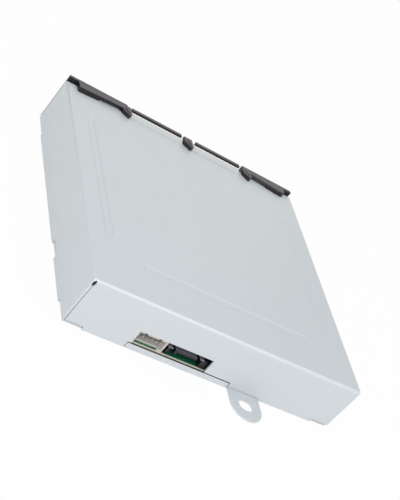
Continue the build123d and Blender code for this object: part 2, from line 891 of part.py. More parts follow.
with BuildPart() as roller_sleeves:
    for side in (-1, 1):
        with BuildSketch(Plane.XY.offset(roller_z)):
            with BuildLine():
                Polyline(
                    (side * roller_middle_gap, roller_y + roller_shaft_radius),
                    (side * roller_middle_gap, roller_y + roller_middle_radius),
                    (side * (roller_half_length - 1), roller_y + roller_end_radius),
                    (side * roller_half_length, roller_y + roller_end_radius - 0.6),
                    (side * roller_half_length, roller_y + roller_shaft_radius),
                    close=True,
                )
            make_face()
        revolve(axis=Axis((0, roller_y, roller_z), (1, 0, 0)))
save(roller_sleeves, "roller_sleeves")

with BuildPart() as roller_gear:
    with BuildSketch(across(inner_gear_x)):
        with Locations(roller_centre):
            gear_outline(roller_teeth, tooth_module, roller_phase)
            Circle(roller_shaft_radius, mode=Mode.SUBTRACT)
    extrude(amount=gear_width)
save(roller_gear, "roller_gear")

# Idler above the roller's gear and transfer gear behind it, each loose on its post
with BuildPart() as idler_gear:
    with BuildSketch(across(inner_gear_x)):
        with Locations(idler_centre):
            gear_outline(idler_teeth, tooth_module, idler_phase)
            Circle(gear_post_radius + running_gap, mode=Mode.SUBTRACT)
    extrude(amount=outer_gear_x + gear_width - inner_gear_x)
save(idler_gear, "idler_gear")

with BuildPart() as transfer_gear:
    with BuildSketch(across(outer_gear_x)):
        with Locations(transfer_centre):
            gear_outline(transfer_teeth, tooth_module, transfer_phase)
            Circle(gear_post_radius + running_gap, mode=Mode.SUBTRACT)
            with PolarLocations(transfer_teeth * tooth_module * 0.3, 5):
                Circle(0.75, mode=Mode.SUBTRACT)
    extrude(amount=gear_width)
save(transfer_gear, "transfer_gear")

# Worm wheel, its tube through the bracket's arm and its pinion in one moulding
with BuildPart() as worm_wheel:
    with BuildSketch(across(wheel_x)):
        with Locations(pivot_centre):
            gear_outline(wheel_teeth, wheel_module, 90.0)
    extrude(amount=wheel_width)
    with BuildSketch(across(wheel_x + wheel_width)):
        with Locations(pivot_centre):
            Circle(tube_radius)
    extrude(amount=outer_gear_x - wheel_x - wheel_width)
    with BuildSketch(across(outer_gear_x)):
        with Locations(pivot_centre):
            gear_outline(pinion_teeth, tooth_module, pinion_phase)
    extrude(amount=gear_width)
    with BuildSketch(across(wheel_x - 1)):
        with Locations(pivot_centre):
            Circle(gear_post_radius + running_gap)
    extrude(amount=20, mode=Mode.SUBTRACT)
save(worm_wheel, "worm_wheel")

with BuildPart() as wheel_shaft:
    with BuildSketch(across(motor_wall_x + 0.2)):
        with Locations(pivot_centre):
            Circle(gear_post_radius)
    extrude(amount=frame_out_x - motor_wall_x - 0.4)
save(wheel_shaft, "wheel_shaft")

# Loading motor: flat-sided can on the floor, with the worm on its shaft
with BuildPart() as loading_motor:
    with BuildSketch(Plane.XZ.offset(-motor_front_y)):
        with Locations((worm_x, worm_z)):
            Circle(motor_width / 2)
            Rectangle(motor_width + 1, motor_height, mode=Mode.INTERSECT)
    extrude(amount=-motor_length)
    with BuildSketch(Plane.XZ.offset(-motor_front_y)):
        with Locations((worm_x, worm_z)):
            Circle(2.0)
    extrude(amount=0.5)
    with BuildSketch(Plane.XZ.offset(-motor_front_y - motor_length)):
        with Locations((worm_x, worm_z)):
            RectangleRounded(8.0, 5.0, 1.0)
    extrude(amount=-1.2)
save(loading_motor, "loading_motor")

worm_start = -pivot_y - worm_length / 2
with BuildPart() as motor_worm:
    with BuildSketch(Plane.XZ.offset(worm_start)):
        with Locations((worm_x, worm_z)):
            Circle(worm_radius)
    extrude(amount=worm_length)
    chamfer(motor_worm.edges().filter_by(GeomType.CIRCLE), 0.3)
    with BuildSketch(Plane.XZ.offset(-motor_front_y + 0.6)):
        with Locations((worm_x, worm_z)):
            Circle(motor_shaft_radius)
    extrude(amount=worm_start + motor_front_y)
save(motor_worm, "motor_worm")


def cam_slots(side):
    """The two slanted slots of a slider, from each pin's rest place to where it ends up."""
    turn = radians(swing_angle)
    reach_y = bracket_pin_y - pivot_y
    reach_z = bracket_pin_z - pivot_z
    end_y = pivot_y + reach_y * cos(turn) - reach_z * sin(turn)
    end_z = pivot_z + reach_y * sin(turn) + reach_z * cos(turn)
    lift_start = rest_point(0, lift_pin_y, lift_pin_play_z)
    shift = side * slide_travel
    return (
        ((bracket_pin_y, bracket_pin_z), (end_y + shift, end_z)),
        (lift_start[1:], (lift_pin_y + shift, lift_pin_play_z)),
    )


# Cam sliders: pressed plates on edge whose slanted slots work the bracket and the lift frame
slot_end = cam_pin_radius + cam_slot_gap + 1.6
for name, side in (("right_cam_slider", 1), ("left_cam_slider", -1)):
    bracket_slot, lift_slot = cam_slots(side)
    low_span = sorted((bracket_slot[0][0], bracket_slot[1][0]))
    high_span = sorted((lift_slot[0][0], lift_slot[1][0]))
    plate_front = low_span[0] - slot_end
    plate_step = high_span[0] - slot_end
    plate_rear = high_span[1] + slot_end
    pin_y = lever_y + side * slide_travel / 2
    face = sorted((side * slider_x, side * (slider_x + slider_thickness)))
    with BuildPart() as cam_slider:
        block(face, (plate_front, plate_rear), (slider_bottom, slider_low_top))
        block(face, (plate_step, plate_rear), (slider_low_top - 1, slider_high_top))
        # Lower front stretch, with the foot that the sync lever's pin moves
        block(
            face,
            (min(pin_y - foot_depth / 2, plate_front), plate_front + 1),
            (slider_bottom, slider_front_top),
        )
        foot_span = sorted((side * foot_inner_x, side * (slider_x + 0.5)))
        block(
            foot_span,
            (pin_y - foot_depth / 2, pin_y + foot_depth / 2),
            (foot_bottom, foot_bottom + foot_thickness),
        )
        with BuildSketch(Plane.XY.offset(foot_bottom - 0.5)):
            with Locations((side * lever_pin_x, pin_y)):
                SlotOverall(3.0, 2 * (lever_pin_radius + 0.15))
        extrude(amount=2 * foot_thickness, mode=Mode.SUBTRACT)
        with BuildSketch(across(side * slider_x)):
            for start, end in (bracket_slot, lift_slot):
                slot_outline(start, end, 2 * (cam_pin_radius + cam_slot_gap))
        extrude(amount=side * slider_thickness, mode=Mode.SUBTRACT)
        if side > 0:
            # Rack behind the pinion, and the tail that the trigger lever pushes
            rack_top = pivot_z - pinion_teeth * tooth_module / 2 - 0.85 * tooth_module - rack_gap
            rack_rear = pivot_y + rack_length + 1.2
            pitch = pi * tooth_module
            with BuildSketch(across(slider_x + slider_thickness)):
                with Locations((rack_rear - rack_length / 2, rack_top - 0.9 - 1.3)):
                    Rectangle(rack_length, 2.6)
                with Locations((rack_rear - rack_length / 2, rack_top - 0.45 - 0.05)):
                    with GridLocations(pitch, 0, int(rack_length / pitch), 1):
                        Trapezoid(1.24 * tooth_module, 0.95, 78)
            extrude(amount=outer_gear_x + gear_width - slider_x - slider_thickness)
            block(
                face,
                (rack_rear - rack_length, plate_front + 0.5),
                (rack_top - 3.5, slider_front_top),
            )
            block(face, (plate_rear - 1, tail_end_y), (tail_bottom, slider_high_top))
            block(
                sorted((slider_x - 1.6, slider_x + slider_thickness)),
                (tail_end_y - 1.0, tail_end_y),
                (tail_bottom, trigger_bottom + trigger_thickness),
            )
    save(cam_slider, name)

# Sync lever: flat bar that makes the sliders move opposite ways
lever_angle = degrees(atan2(slide_travel / 2, lever_pin_x))
lever_centre = (0, lever_y)
with BuildPart() as sync_lever:
    with BuildSketch(Plane.XY.offset(lever_bottom)):
        with Locations(Location((0, lever_y, 0), (0, 0, lever_angle))):
            SlotCenterToCenter(2 * hypot(lever_pin_x, slide_travel / 2), lever_width)
        with Locations(lever_centre):
            Circle(lever_width)
            Circle(lever_post_radius + running_gap, mode=Mode.SUBTRACT)
    extrude(amount=lever_thickness)
    with BuildSketch(Plane.XY.offset(lever_bottom + lever_thickness)):
        with Locations(
            (lever_pin_x, lever_y + slide_travel / 2),
            (-lever_pin_x, lever_y - slide_travel / 2),
        ):
            Circle(lever_pin_radius)
    extrude(amount=foot_bottom + foot_thickness - lever_bottom - lever_thickness)
save(sync_lever, "sync_lever")

# Trigger lever: its upright pin is what the disc's rear edge pushes
tip_angle = radians(trigger_play_angle + trigger_turn)
tip = (trigger_x + trigger_arm * cos(tip_angle), trigger_y + trigger_arm * sin(tip_angle))
with BuildPart() as trigger_lever:
    with BuildSketch(Plane.XY.offset(trigger_bottom)):
        slot_outline((trigger_x, trigger_y), tip, 3.2)
        slot_outline((trigger_x, trigger_y), (slider_x - 0.6, tail_end_y + 2.1), 2.8)
        with Locations((trigger_x, trigger_y)):
            Circle(2 * trigger_post_radius)
            Circle(trigger_post_radius + running_gap, mode=Mode.SUBTRACT)
    extrude(amount=trigger_thickness)
    with BuildSketch(Plane.XY.offset(trigger_bottom + trigger_thickness)):
        with Locations(tip):
            Circle(trigger_pin_radius)
    extrude(amount=play_height + disc_thickness + 0.4 - trigger_bottom - trigger_thickness)
save(trigger_lever, "trigger_lever")

# Return spring of the trigger lever round its post
spring_bottom = trigger_bottom + trigger_thickness + 0.05
with BuildPart() as trigger_spring:
    with BuildSketch(Plane.XY.offset(spring_bottom)):
        with Locations((trigger_x, trigger_y)):
            Circle(trigger_post_radius + 0.1 + 2 * spring_wire)
            Circle(trigger_post_radius + 0.1, mode=Mode.SUBTRACT)
    extrude(amount=0.7)
    block(
        (trigger_x, frame_in_x - 0.3),
        (trigger_y + 2.1, trigger_y + 2.1 + spring_wire),
        (spring_bottom, spring_bottom + spring_wire),
    )
save(trigger_spring, "trigger_spring")

# Lift frame: plastic plate hinged at the rear, with side pins in the sliders' slots
lift_rear_y = hinge_y + 2.5
with BuildPart() as lift_frame:
    with BuildSketch(lifted(lift_bottom)):
        with BuildLine():
            Polyline(
                (-lift_half_width, lift_front_y),
                (lift_half_width, lift_front_y),
                (lift_half_width, lift_rear_y),
                (lift_half_width - 3, lift_rear_y),
                (lift_half_width - 3, spindle_y + 18),
                (2.0, spindle_y + 18),
                (-8.0, hinge_y - 6),
                (-20.0, hinge_y + 6),
                (-50.0, hinge_y + 6),
                (-lift_half_width, lift_rear_y),
                close=True,
            )
        make_face()
        with Locations((0, spindle_y)):
            Circle(rotor_radius + 2.5, mode=Mode.SUBTRACT)
        with Locations((lift_half_width - 21, 0)):
            RectangleRounded(24, 32, 3, mode=Mode.SUBTRACT)
    extrude(amount=lift_thickness)
    with BuildSketch(feed_plane(lift_bottom)):
        with Locations(((window_start + window_end) / 2, 0)):
            Rectangle(window_end - window_start - 2, 2 * window_half + 1)
        with Locations((sled_motor_start + sled_motor_length / 2, screw_side)):
            Rectangle(sled_motor_length + 2, 2 * sled_motor_radius + 2)
    extrude(amount=lift_thickness, mode=Mode.SUBTRACT)
    for side in (-1, 1):
        with BuildSketch(lifted(lift_bottom)):
            with Locations((side * (lift_half_width - 0.6), (lift_front_y + hinge_y) / 2)):
                Rectangle(1.2, hinge_y - lift_front_y)
        extrude(amount=deck_bottom - lift_bottom - 0.4)
        with BuildSketch(lifted(lift_bottom)):
            with Locations((side * (lift_half_width - 1.0), lift_pin_y)):
                Rectangle(2.0, 5.0)
        extrude(amount=lift_pin_play_z + cam_pin_radius + 0.6 - lift_bottom)
        lift_pin = rest_point(0, lift_pin_y, lift_pin_play_z)
        with BuildSketch(across(side * (lift_half_width - 1))):
            with Locations(lift_pin[1:]):
                Circle(cam_pin_radius)
        extrude(amount=side * (slider_x + slider_thickness - lift_half_width + 0.9))
        with BuildSketch(across(side * (lift_half_width - 1))):
            with Locations((hinge_y, hinge_z)):
                Circle(hinge_pin_radius)
        extrude(amount=side * (frame_in_x + 0.4 - lift_half_width + 1))
save(lift_frame, "lift_frame")

# Rubber grommets between the lift frame and the deck
damper_places = [(-13.0, -18.5), (-13.0, 20.5), (40.0, -23.5), (40.0, 28.5)]
with BuildPart() as damper_grommets:
    for bottom, top, radius in (
        (lift_bottom + lift_thickness, deck_bottom, damper_radius),
        (deck_bottom, deck_bottom + deck_thickness, damper_radius - 1.0),
        (deck_bottom + deck_thickness, deck_bottom + deck_thickness + 0.8, damper_radius),
    ):
        with BuildSketch(feed_plane(bottom)):
            with Locations(*damper_places):
                Circle(radius)
        extrude(amount=top - bottom)
save(damper_grommets, "damper_grommets")

# Traverse deck: steel plate with the pickup's window and the motor's seat
deck_side = 22.5
with BuildPart() as traverse_deck:
    with BuildSketch(feed_plane(deck_bottom)):
        with BuildLine():
            Polyline(
                (-turntable_radius - 2.5, -deck_side),
                (-turntable_radius - 2.5, deck_side + 2),
                (-6.0, deck_side + 6),
                (33.0, deck_side + 6),
                (36.0, deck_side + 10),
                (44.0, deck_side + 10),
                (screw_end, deck_side + 2.5),
                (screw_end + 1.5, rod_spacing / 2 + 2.2),
                (rod_end + 1.7, rod_spacing / 2 + 2.2),
                (rod_end + 1.7, -deck_side + 2),
                (46.0, -deck_side - 5),
                (34.0, -deck_side - 5),
                (10.0, -deck_side),
                close=True,
            )
        make_face()
        with Locations(((window_start + rod_end) / 2, 0)):
            Rectangle(rod_end - window_start + 1.4, 2 * window_half, mode=Mode.SUBTRACT)
        with Locations((sled_motor_start + (sled_motor_length + flange_thickness) / 2, screw_side)):
            Rectangle(
                sled_motor_length + flange_thickness + 0.4,
                2 * sled_motor_radius + 0.4,
                mode=Mode.SUBTRACT,
            )
        Circle(3.5, mode=Mode.SUBTRACT)
        with Locations(*damper_places):
            Circle(damper_radius - 1.0, mode=Mode.SUBTRACT)
    extrude(amount=deck_thickness)
save(traverse_deck, "traverse_deck")

# Guide rods and the plastic clips that hold their ends
with BuildPart() as guide_rods:
    for side in (-1, 1):
        with BuildSketch(along_feed(rod_start, side * rod_spacing / 2, rod_z)):
            Circle(rod_radius)
        extrude(amount=rod_end - rod_start)
save(guide_rods, "guide_rods")

clip_length = 2.4
clip_width = 4.4
with BuildPart() as rod_clips:
    for start in (rod_start, rod_end - clip_length):
        for side in (-1, 1):
            with BuildSketch(feed_plane(deck_bottom + deck_thickness)):
                with Locations((start + clip_length / 2, side * rod_spacing / 2)):
                    Rectangle(clip_length, clip_width)
            extrude(amount=rod_z + rod_radius + 0.4 - deck_bottom - deck_thickness)
            with BuildSketch(along_feed(start - 1, side * rod_spacing / 2, rod_z)):
                Circle(rod_radius)
            extrude(amount=clip_length + 2, mode=Mode.SUBTRACT)
save(rod_clips, "rod_clips")

# Sled motor in its seat, and the lead screw that is its shaft
with BuildPart() as sled_motor:
    with BuildSketch(along_feed(sled_motor_start, screw_side, rod_z)):
        Circle(sled_motor_radius)
    extrude(amount=sled_motor_length)
    with BuildSketch(along_feed(sled_motor_start + sled_motor_length, screw_side, rod_z)):
        Rectangle(2 * sled_motor_radius, 2 * sled_motor_radius - 1)
        Circle(screw_radius + 0.2, mode=Mode.SUBTRACT)
    extrude(amount=flange_thickness)
save(sled_motor, "sled_motor")

with BuildPart() as lead_screw:
    with BuildSketch(along_feed(sled_motor_start + sled_motor_length + 0.2, screw_side, rod_z)):
        Circle(screw_radius)
    extrude(amount=screw_end - sled_motor_start - sled_motor_length - 0.2)
save(lead_screw, "lead_screw")

with BuildPart() as screw_bearing:
    with BuildSketch(feed_plane(deck_bottom + deck_thickness)):
        with Locations((screw_end - 1.2, screw_side)):
            Rectangle(3.0, 4.0)
    extrude(amount=rod_z + screw_radius + 0.3 - deck_bottom - deck_thickness)
    with BuildSketch(along_feed(screw_end - 4, screw_side, rod_z)):
        Circle(screw_radius + running_gap)
    extrude(amount=6, mode=Mode.SUBTRACT)
save(screw_bearing, "screw_bearing")

# Spindle motor: stator on its base plate, and the rotor with turntable, pad and hub
with BuildPart() as spindle_stator:
    with BuildSketch(feed_plane(deck_bottom + deck_thickness)):
        RectangleRounded(24.0, 30.0, 2.0)
    extrude(amount=0.4)
    with BuildSketch(feed_plane(deck_bottom - 1.0)):
        Circle(3.4)
    extrude(amount=rotor_top - 0.6 - deck_bottom)
    with BuildSketch(feed_plane(rotor_bottom + 0.4)):
        Circle(4.5)
        with PolarLocations(7.5, 9):
            Rectangle(6.4, 1.6)
        with PolarLocations(stator_radius - 0.4, 9):
            RectangleRounded(0.8, 5.0, 0.3)
    extrude(amount=2.4)
    with BuildSketch(feed_plane(deck_bottom - 2)):
        Circle(spindle_shaft_radius + running_gap)
    extrude(amount=9, mode=Mode.SUBTRACT)
save(spindle_stator, "spindle_stator")

with BuildPart() as spindle_rotor:
    with BuildSketch(feed_plane(rotor_bottom)):
        Circle(rotor_radius)
    extrude(amount=rotor_top - rotor_bottom)
    with BuildSketch(feed_plane(rotor_bottom)):
        Circle(rotor_radius - 0.8)
    extrude(amount=rotor_top - rotor_bottom - 0.8, mode=Mode.SUBTRACT)
    with BuildSketch(feed_plane(deck_bottom - 0.6)):
        Circle(spindle_shaft_radius)
    extrude(amount=rotor_top - deck_bottom)
save(spindle_rotor, "spindle_rotor")

table_bottom = play_height - pad_thickness - turntable_thickness
with BuildPart() as turntable:
    with BuildSketch(feed_plane(table_bottom)):
        Circle(turntable_radius)
    extrude(amount=turntable_thickness)
    with BuildSketch(feed_plane(rotor_top)):
        Circle(5.0)
    extrude(amount=table_bottom - rotor_top)
save(turntable, "turntable")

with BuildPart() as turntable_pad:
    with BuildSketch(feed_plane(play_height - pad_thickness)):
        Circle(turntable_radius - 0.3)
        Circle(turntable_radius - 3.3, mode=Mode.SUBTRACT)
    extrude(amount=pad_thickness)
save(turntable_pad, "turntable_pad")

with BuildPart() as centring_hub:
    hub_base = feed_plane(play_height - pad_thickness)
    with BuildSketch(hub_base):
        Circle(hub_radius)
    extrude(amount=1.0)
    with BuildSketch(hub_base.offset(1.0)):
        Circle(hub_radius)
    extrude(amount=hub_height - 1.0 + pad_thickness, taper=35)
    with BuildSketch(hub_base.offset(0.6)):
        with PolarLocations(hub_radius, 3):
            Rectangle(2.4, 3.0)
    extrude(amount=0.8, mode=Mode.SUBTRACT)
save(centring_hub, "centring_hub")

# Pickup: sled on the rods, its cover, the nut on the screw, and the lens holder
sled_middle = lens_inner + (sled_ahead - sled_behind) / 2
sled_length = sled_ahead + sled_behind
actuator_length = 9.0
actuator_width = 16.0
with BuildPart() as pickup_sled:
    with BuildSketch(feed_plane(sled_bottom)):
        with Locations((sled_middle, 0)):
            Rectangle(sled_length, 2 * window_half - 1.2)
    extrude(amount=sled_top - sled_bottom)
    with BuildSketch(feed_plane(deck_bottom + deck_thickness + 0.3)):
        with Locations((lens_inner - 2, 0)):
            Rectangle(8, rod_spacing + 4.6)
    extrude(amount=sled_top - 0.6 - deck_bottom - deck_thickness - 0.3)
    with BuildSketch(feed_plane(sled_top - focus_travel - 3.0)):
        with Locations((lens_inner, 0)):
            Rectangle(actuator_length + 0.6, actuator_width + 0.6)
    extrude(amount=4, mode=Mode.SUBTRACT)
    for side in (-1, 1):
        with BuildSketch(along_feed(lens_inner - sled_behind - 1, side * rod_spacing / 2, rod_z)):
            Circle(rod_radius + running_gap)
        extrude(amount=sled_length + 2, mode=Mode.SUBTRACT)
save(pickup_sled, "pickup_sled")

with BuildPart() as pickup_cover:
    with BuildSketch(feed_plane(sled_top)):
        with Locations((sled_middle, 0)):
            Rectangle(sled_length - 1, 2 * window_half - 3)
        with Locations((lens_inner, 0)):
            Rectangle(actuator_length, actuator_width, mode=Mode.SUBTRACT)
    extrude(amount=0.3)
save(pickup_cover, "pickup_cover")

nut_width = 5.0
nut_middle = lens_inner - 8.0
with BuildPart() as rack_nut:
    with BuildSketch(feed_plane(sled_top - 0.6)):
        with Locations((nut_middle, screw_side)):
            Rectangle(nut_width, 2 * screw_radius + 1.4)
        with Locations((nut_middle + 4.0, screw_side - 0.6)):
            Rectangle(nut_width + 4.0, 2.4)
        with Locations((nut_middle + 6.5, (rod_spacing / 2 + screw_side) / 2)):
            Rectangle(4.0, screw_side - rod_spacing / 2 + 2.4)
    extrude(amount=0.8)
    with BuildSketch(feed_plane(rod_z)):
        with Locations((nut_middle, screw_side)):
            Rectangle(nut_width, 2 * screw_radius + 1.4)
    extrude(amount=sled_top - 0.6 - rod_z)
    with BuildSketch(along_feed(nut_middle - nut_width, screw_side, rod_z)):
        Circle(screw_radius + running_gap)
    extrude(amount=2 * nut_width, mode=Mode.SUBTRACT)
save(rack_nut, "rack_nut")

lens_offset = 3.4
with BuildPart() as lens_holder:
    with BuildSketch(feed_plane(sled_top - 2.4)):
        with Locations((lens_inner, 0)):
            Rectangle(actuator_length - 1.0, actuator_width - 1.2)
    extrude(amount=lens_top - 0.5 - sled_top + 2.4)
    with BuildSketch(feed_plane(lens_top - 1.1)):
        with Locations((lens_inner, lens_offset), (lens_inner, -lens_offset)):
            Circle(2.4)
    extrude(amount=2, mode=Mode.SUBTRACT)
save(lens_holder, "lens_holder")

with BuildPart() as objective_lenses:
    for side, radius in ((1, 2.3), (-1, 1.9)):
        with BuildSketch(feed_plane(lens_top - 1.1)):
            with Locations((lens_inner, side * lens_offset)):
                Circle(radius)
        extrude(amount=0.6)
        with BuildSketch(feed_plane(lens_top - 0.5)):
            with Locations((lens_inner, side * lens_offset)):
                Circle(radius * 0.75)
        extrude(amount=0.5, taper=25)
save(objective_lenses, "objective_lenses")

# Logic board on its spacers
board_corner_x = trigger_x - 4.6
board_screw_places = [
    (x, y) for x in (board_left + 4, board_right - 12) for y in (board_front + 4, board_rear - 5.3)
]
with BuildPart() as logic_board:
    with BuildSketch(Plane.XY.offset(board_bottom)):
        with BuildLine():
            Polyline(
                (board_left, board_front),
                (board_right, board_front),
                (board_right, corner_front - 0.9),
                (board_corner_x, corner_front - 0.9),
                (board_corner_x, board_rear),
                (board_left, board_rear),
                close=True,
            )
        make_face()
        with Locations(*board_screw_places):
            Circle(board_screw_radius, mode=Mode.SUBTRACT)
    extrude(amount=board_thickness)
save(logic_board, "logic_board")

with BuildPart() as board_spacers:
    with BuildSketch(Plane.XY.offset(sheet)):
        with Locations(*board_screw_places):
            Circle(board_screw_radius + 1.8)
            Circle(board_screw_radius, mode=Mode.SUBTRACT)
    extrude(amount=board_bottom - sheet)
save(board_spacers, "board_spacers")

# Signal header: roof, cheeks and back wall round a step-shaped tongue, open over the board
header_front = half_depth - sheet - socket_recess
header_top = board_top + sata_height
tongue_top = header_top - 0.4
tongue_half = 5.2
sata_back = header_front - sata_depth
with BuildPart() as sata_header:
    block(
        (sata_centre - sata_width / 2, sata_centre + sata_width / 2),
        (sata_back, header_front),
        (board_top, header_top),
    )
    block(
        (sata_centre - sata_width / 2 + 1.2, sata_centre + sata_width / 2 - 1.2),
        (header_front - 6.0, header_front + 1),
        (board_top - 1, header_top + 1),
        Mode.SUBTRACT,
    )
    # Guides that turn in from the cheeks
    for side in (-1, 1):
        cheek = sata_centre + side * (sata_width / 2 - 0.6)
        block(
            sorted((cheek, cheek - side * 1.6)),
            (sata_back, header_front),
            (header_top - 0.8, header_top),
        )
    block(
        (sata_centre - tongue_half, sata_centre + tongue_half),
        (sata_back, header_front),
        (tongue_top - 1.2, tongue_top),
    )
    block(
        (sata_centre + tongue_half - 1.2, sata_centre + tongue_half),
        (sata_back, header_front),
        (tongue_top - 2.4, tongue_top),
    )
save(sata_header, "sata_header")

with BuildPart() as sata_contacts:
    with BuildSketch(Plane.XY.offset(tongue_top - 1.35)):
        with Locations((sata_centre - 0.2, header_front - 3.2)):
            with GridLocations(1.27, 0, 7, 1):
                Rectangle(0.6, 5.4)
    extrude(amount=0.15)
save(sata_contacts, "sata_contacts")

# Power header: ivory shroud with two key slots in its roof, and its row of pins
power_wall = 0.8
power_back = header_front - power_depth
with BuildPart() as power_header:
    block(
        (power_centre - power_width / 2, power_centre + power_width / 2),
        (power_back, header_front),
        (board_top, board_top + power_height),
    )
    block(
        (power_centre - power_width / 2 + power_wall, power_centre + power_width / 2 - power_wall),
        (power_back + 2 * power_wall, header_front + 1),
        (board_top + power_wall, board_top + power_height - power_wall),
        Mode.SUBTRACT,
    )
    for side in (-1, 1):
        block(
            sorted((power_centre + side * 4.0, power_centre + side * 2.6)),
            (power_back + 2 * power_wall, header_front + 1),
            (board_top + power_height - 2 * power_wall, board_top + power_height + 1),
            Mode.SUBTRACT,
        )
    # Sill cut back over the board
    block(
        (power_centre - power_width / 2 + 2.4, power_centre + power_width / 2 - 1.2),
        (header_front - 2.6, header_front + 1),
        (board_top - 1, board_top + 2 * power_wall),
        Mode.SUBTRACT,
    )
save(power_header, "power_header")

with BuildPart() as power_pins:
    with BuildSketch(Plane.XZ.offset(-power_back - 2 * power_wall)):
        with Locations((power_centre, board_top + power_height / 2)):
            with GridLocations(power_pitch, 0, power_pin_count, 1):
                Rectangle(0.5, 0.5)
    extrude(amount=-5.0)
save(power_pins, "power_pins")

# Chips and flex sockets of the board
chip_row = (board_front + board_rear) / 2
flex_x = worm_x + 1.0
flex_socket_y = board_front + 3.2
for name, places, size in (
    ("controller_chip", [(16, chip_row - 3.2)], (14, 14, 1.0)),
    ("driver_chips", [(-10, chip_row), (38, chip_row)], (9, 9, 0.9)),
    ("memory_chip", [(36, board_front + 7)], (10, 6, 0.9)),
    ("flex_sockets", [(-6, flex_socket_y), (flex_x, flex_socket_y)], (flex_width + 2, 3.2, 1.1)),
):
    with BuildPart() as chip:
        with BuildSketch(Plane.XY.offset(board_top)):
            with Locations(*places):
                Rectangle(size[0], size[1])
        extrude(amount=size[2])
    save(chip, name)

with BuildPart() as board_capacitors:
    with BuildSketch(Plane.XY.offset(board_top)):
        with Locations((-14, board_rear - 3.8), (-8, board_rear - 3.8), (40, board_rear - 3.8)):
            Circle(2.0)
    extrude(amount=3.6)
    chamfer(board_capacitors.faces().group_by(Axis.Z)[-1].edges(), 0.3)
save(board_capacitors, "board_capacitors")

# Flat cable from the loading motor along the pan to its socket
flex_start = motor_front_y + motor_length + 1.4
flex_rise_y = board_front - 1.6
flex_span = (flex_x - flex_width / 2, flex_x + flex_width / 2)
flex_top = board_top + 0.4
with BuildPart() as motor_flex:
    block(flex_span, (flex_start, flex_rise_y), (sheet, sheet + flex_thickness))
    block(flex_span, (flex_start, flex_start + flex_thickness), (sheet, worm_z))
    block(flex_span, (flex_rise_y - flex_thickness, flex_rise_y), (sheet, flex_top + flex_thickness))
    block(
        flex_span,
        (flex_rise_y - flex_thickness, flex_socket_y - 1.6),
        (flex_top, flex_top + flex_thickness),
    )
save(motor_flex, "motor_flex")

# Screws of the board and of the clamp bridge
for name, plane, places, head, shank, length in (
    ("board_screws", Plane.XY.offset(board_top), board_screw_places, 2.0, board_screw_radius, 1.6),
    (
        "bridge_screws",
        Plane.XY.offset(bridge_height + sheet),
        bridge_screw_places,
        1.2,
        bridge_screw_radius,
        1.6,
    ),
):
    with BuildPart() as screws:
        with BuildSketch(plane):
            with Locations(*places):
                Circle(head)
        extrude(amount=0.7)
        with BuildSketch(plane):
            with Locations(*places):
                Circle(shank)
        extrude(amount=-length)
    save(screws, name)
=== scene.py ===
import bpy
import bmesh
import json
import math
from mathutils import Matrix, Vector


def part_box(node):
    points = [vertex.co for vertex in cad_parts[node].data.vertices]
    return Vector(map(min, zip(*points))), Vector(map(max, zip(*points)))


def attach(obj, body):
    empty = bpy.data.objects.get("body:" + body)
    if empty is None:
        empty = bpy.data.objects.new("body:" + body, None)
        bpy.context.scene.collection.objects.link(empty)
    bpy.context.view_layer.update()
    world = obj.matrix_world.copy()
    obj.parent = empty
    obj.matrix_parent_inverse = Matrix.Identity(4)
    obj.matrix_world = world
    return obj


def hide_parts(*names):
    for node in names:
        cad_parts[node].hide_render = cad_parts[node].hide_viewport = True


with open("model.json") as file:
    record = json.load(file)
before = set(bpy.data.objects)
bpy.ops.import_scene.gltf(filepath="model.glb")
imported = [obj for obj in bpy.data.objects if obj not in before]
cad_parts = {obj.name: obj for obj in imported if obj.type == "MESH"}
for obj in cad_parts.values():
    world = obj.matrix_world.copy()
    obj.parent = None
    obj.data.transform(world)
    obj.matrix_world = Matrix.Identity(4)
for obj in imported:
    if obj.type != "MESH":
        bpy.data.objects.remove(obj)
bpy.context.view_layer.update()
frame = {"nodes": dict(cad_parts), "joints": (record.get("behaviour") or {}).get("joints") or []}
nodes = frame["nodes"]
scene = bpy.context.scene

# Camera. It stands behind, above and to the power socket's side of the drive, and is
# rolled, so that the drive hangs across the picture from corner to corner.
camera = bpy.data.objects.new("camera", bpy.data.cameras.new("camera"))
scene.collection.objects.link(camera)
camera_right = Vector((-0.7879, 0.1642, 0.5935))
camera_up = Vector((0.3713, -0.6422, 0.6706))
camera_back = camera_right.cross(camera_up).normalized()
camera_up = camera_back.cross(camera_right).normalized()
camera_spot = (0.23466, 0.36179, 0.22795)
camera_turn = Matrix((camera_right, camera_up, camera_back)).transposed().to_4x4()
camera.matrix_world = Matrix.Translation(camera_spot) @ camera_turn
camera.data.lens = 81.64
camera.data.sensor_width = 36.0
camera.data.clip_start = 0.01
scene.camera = camera
scene.view_settings.view_transform = "Standard"


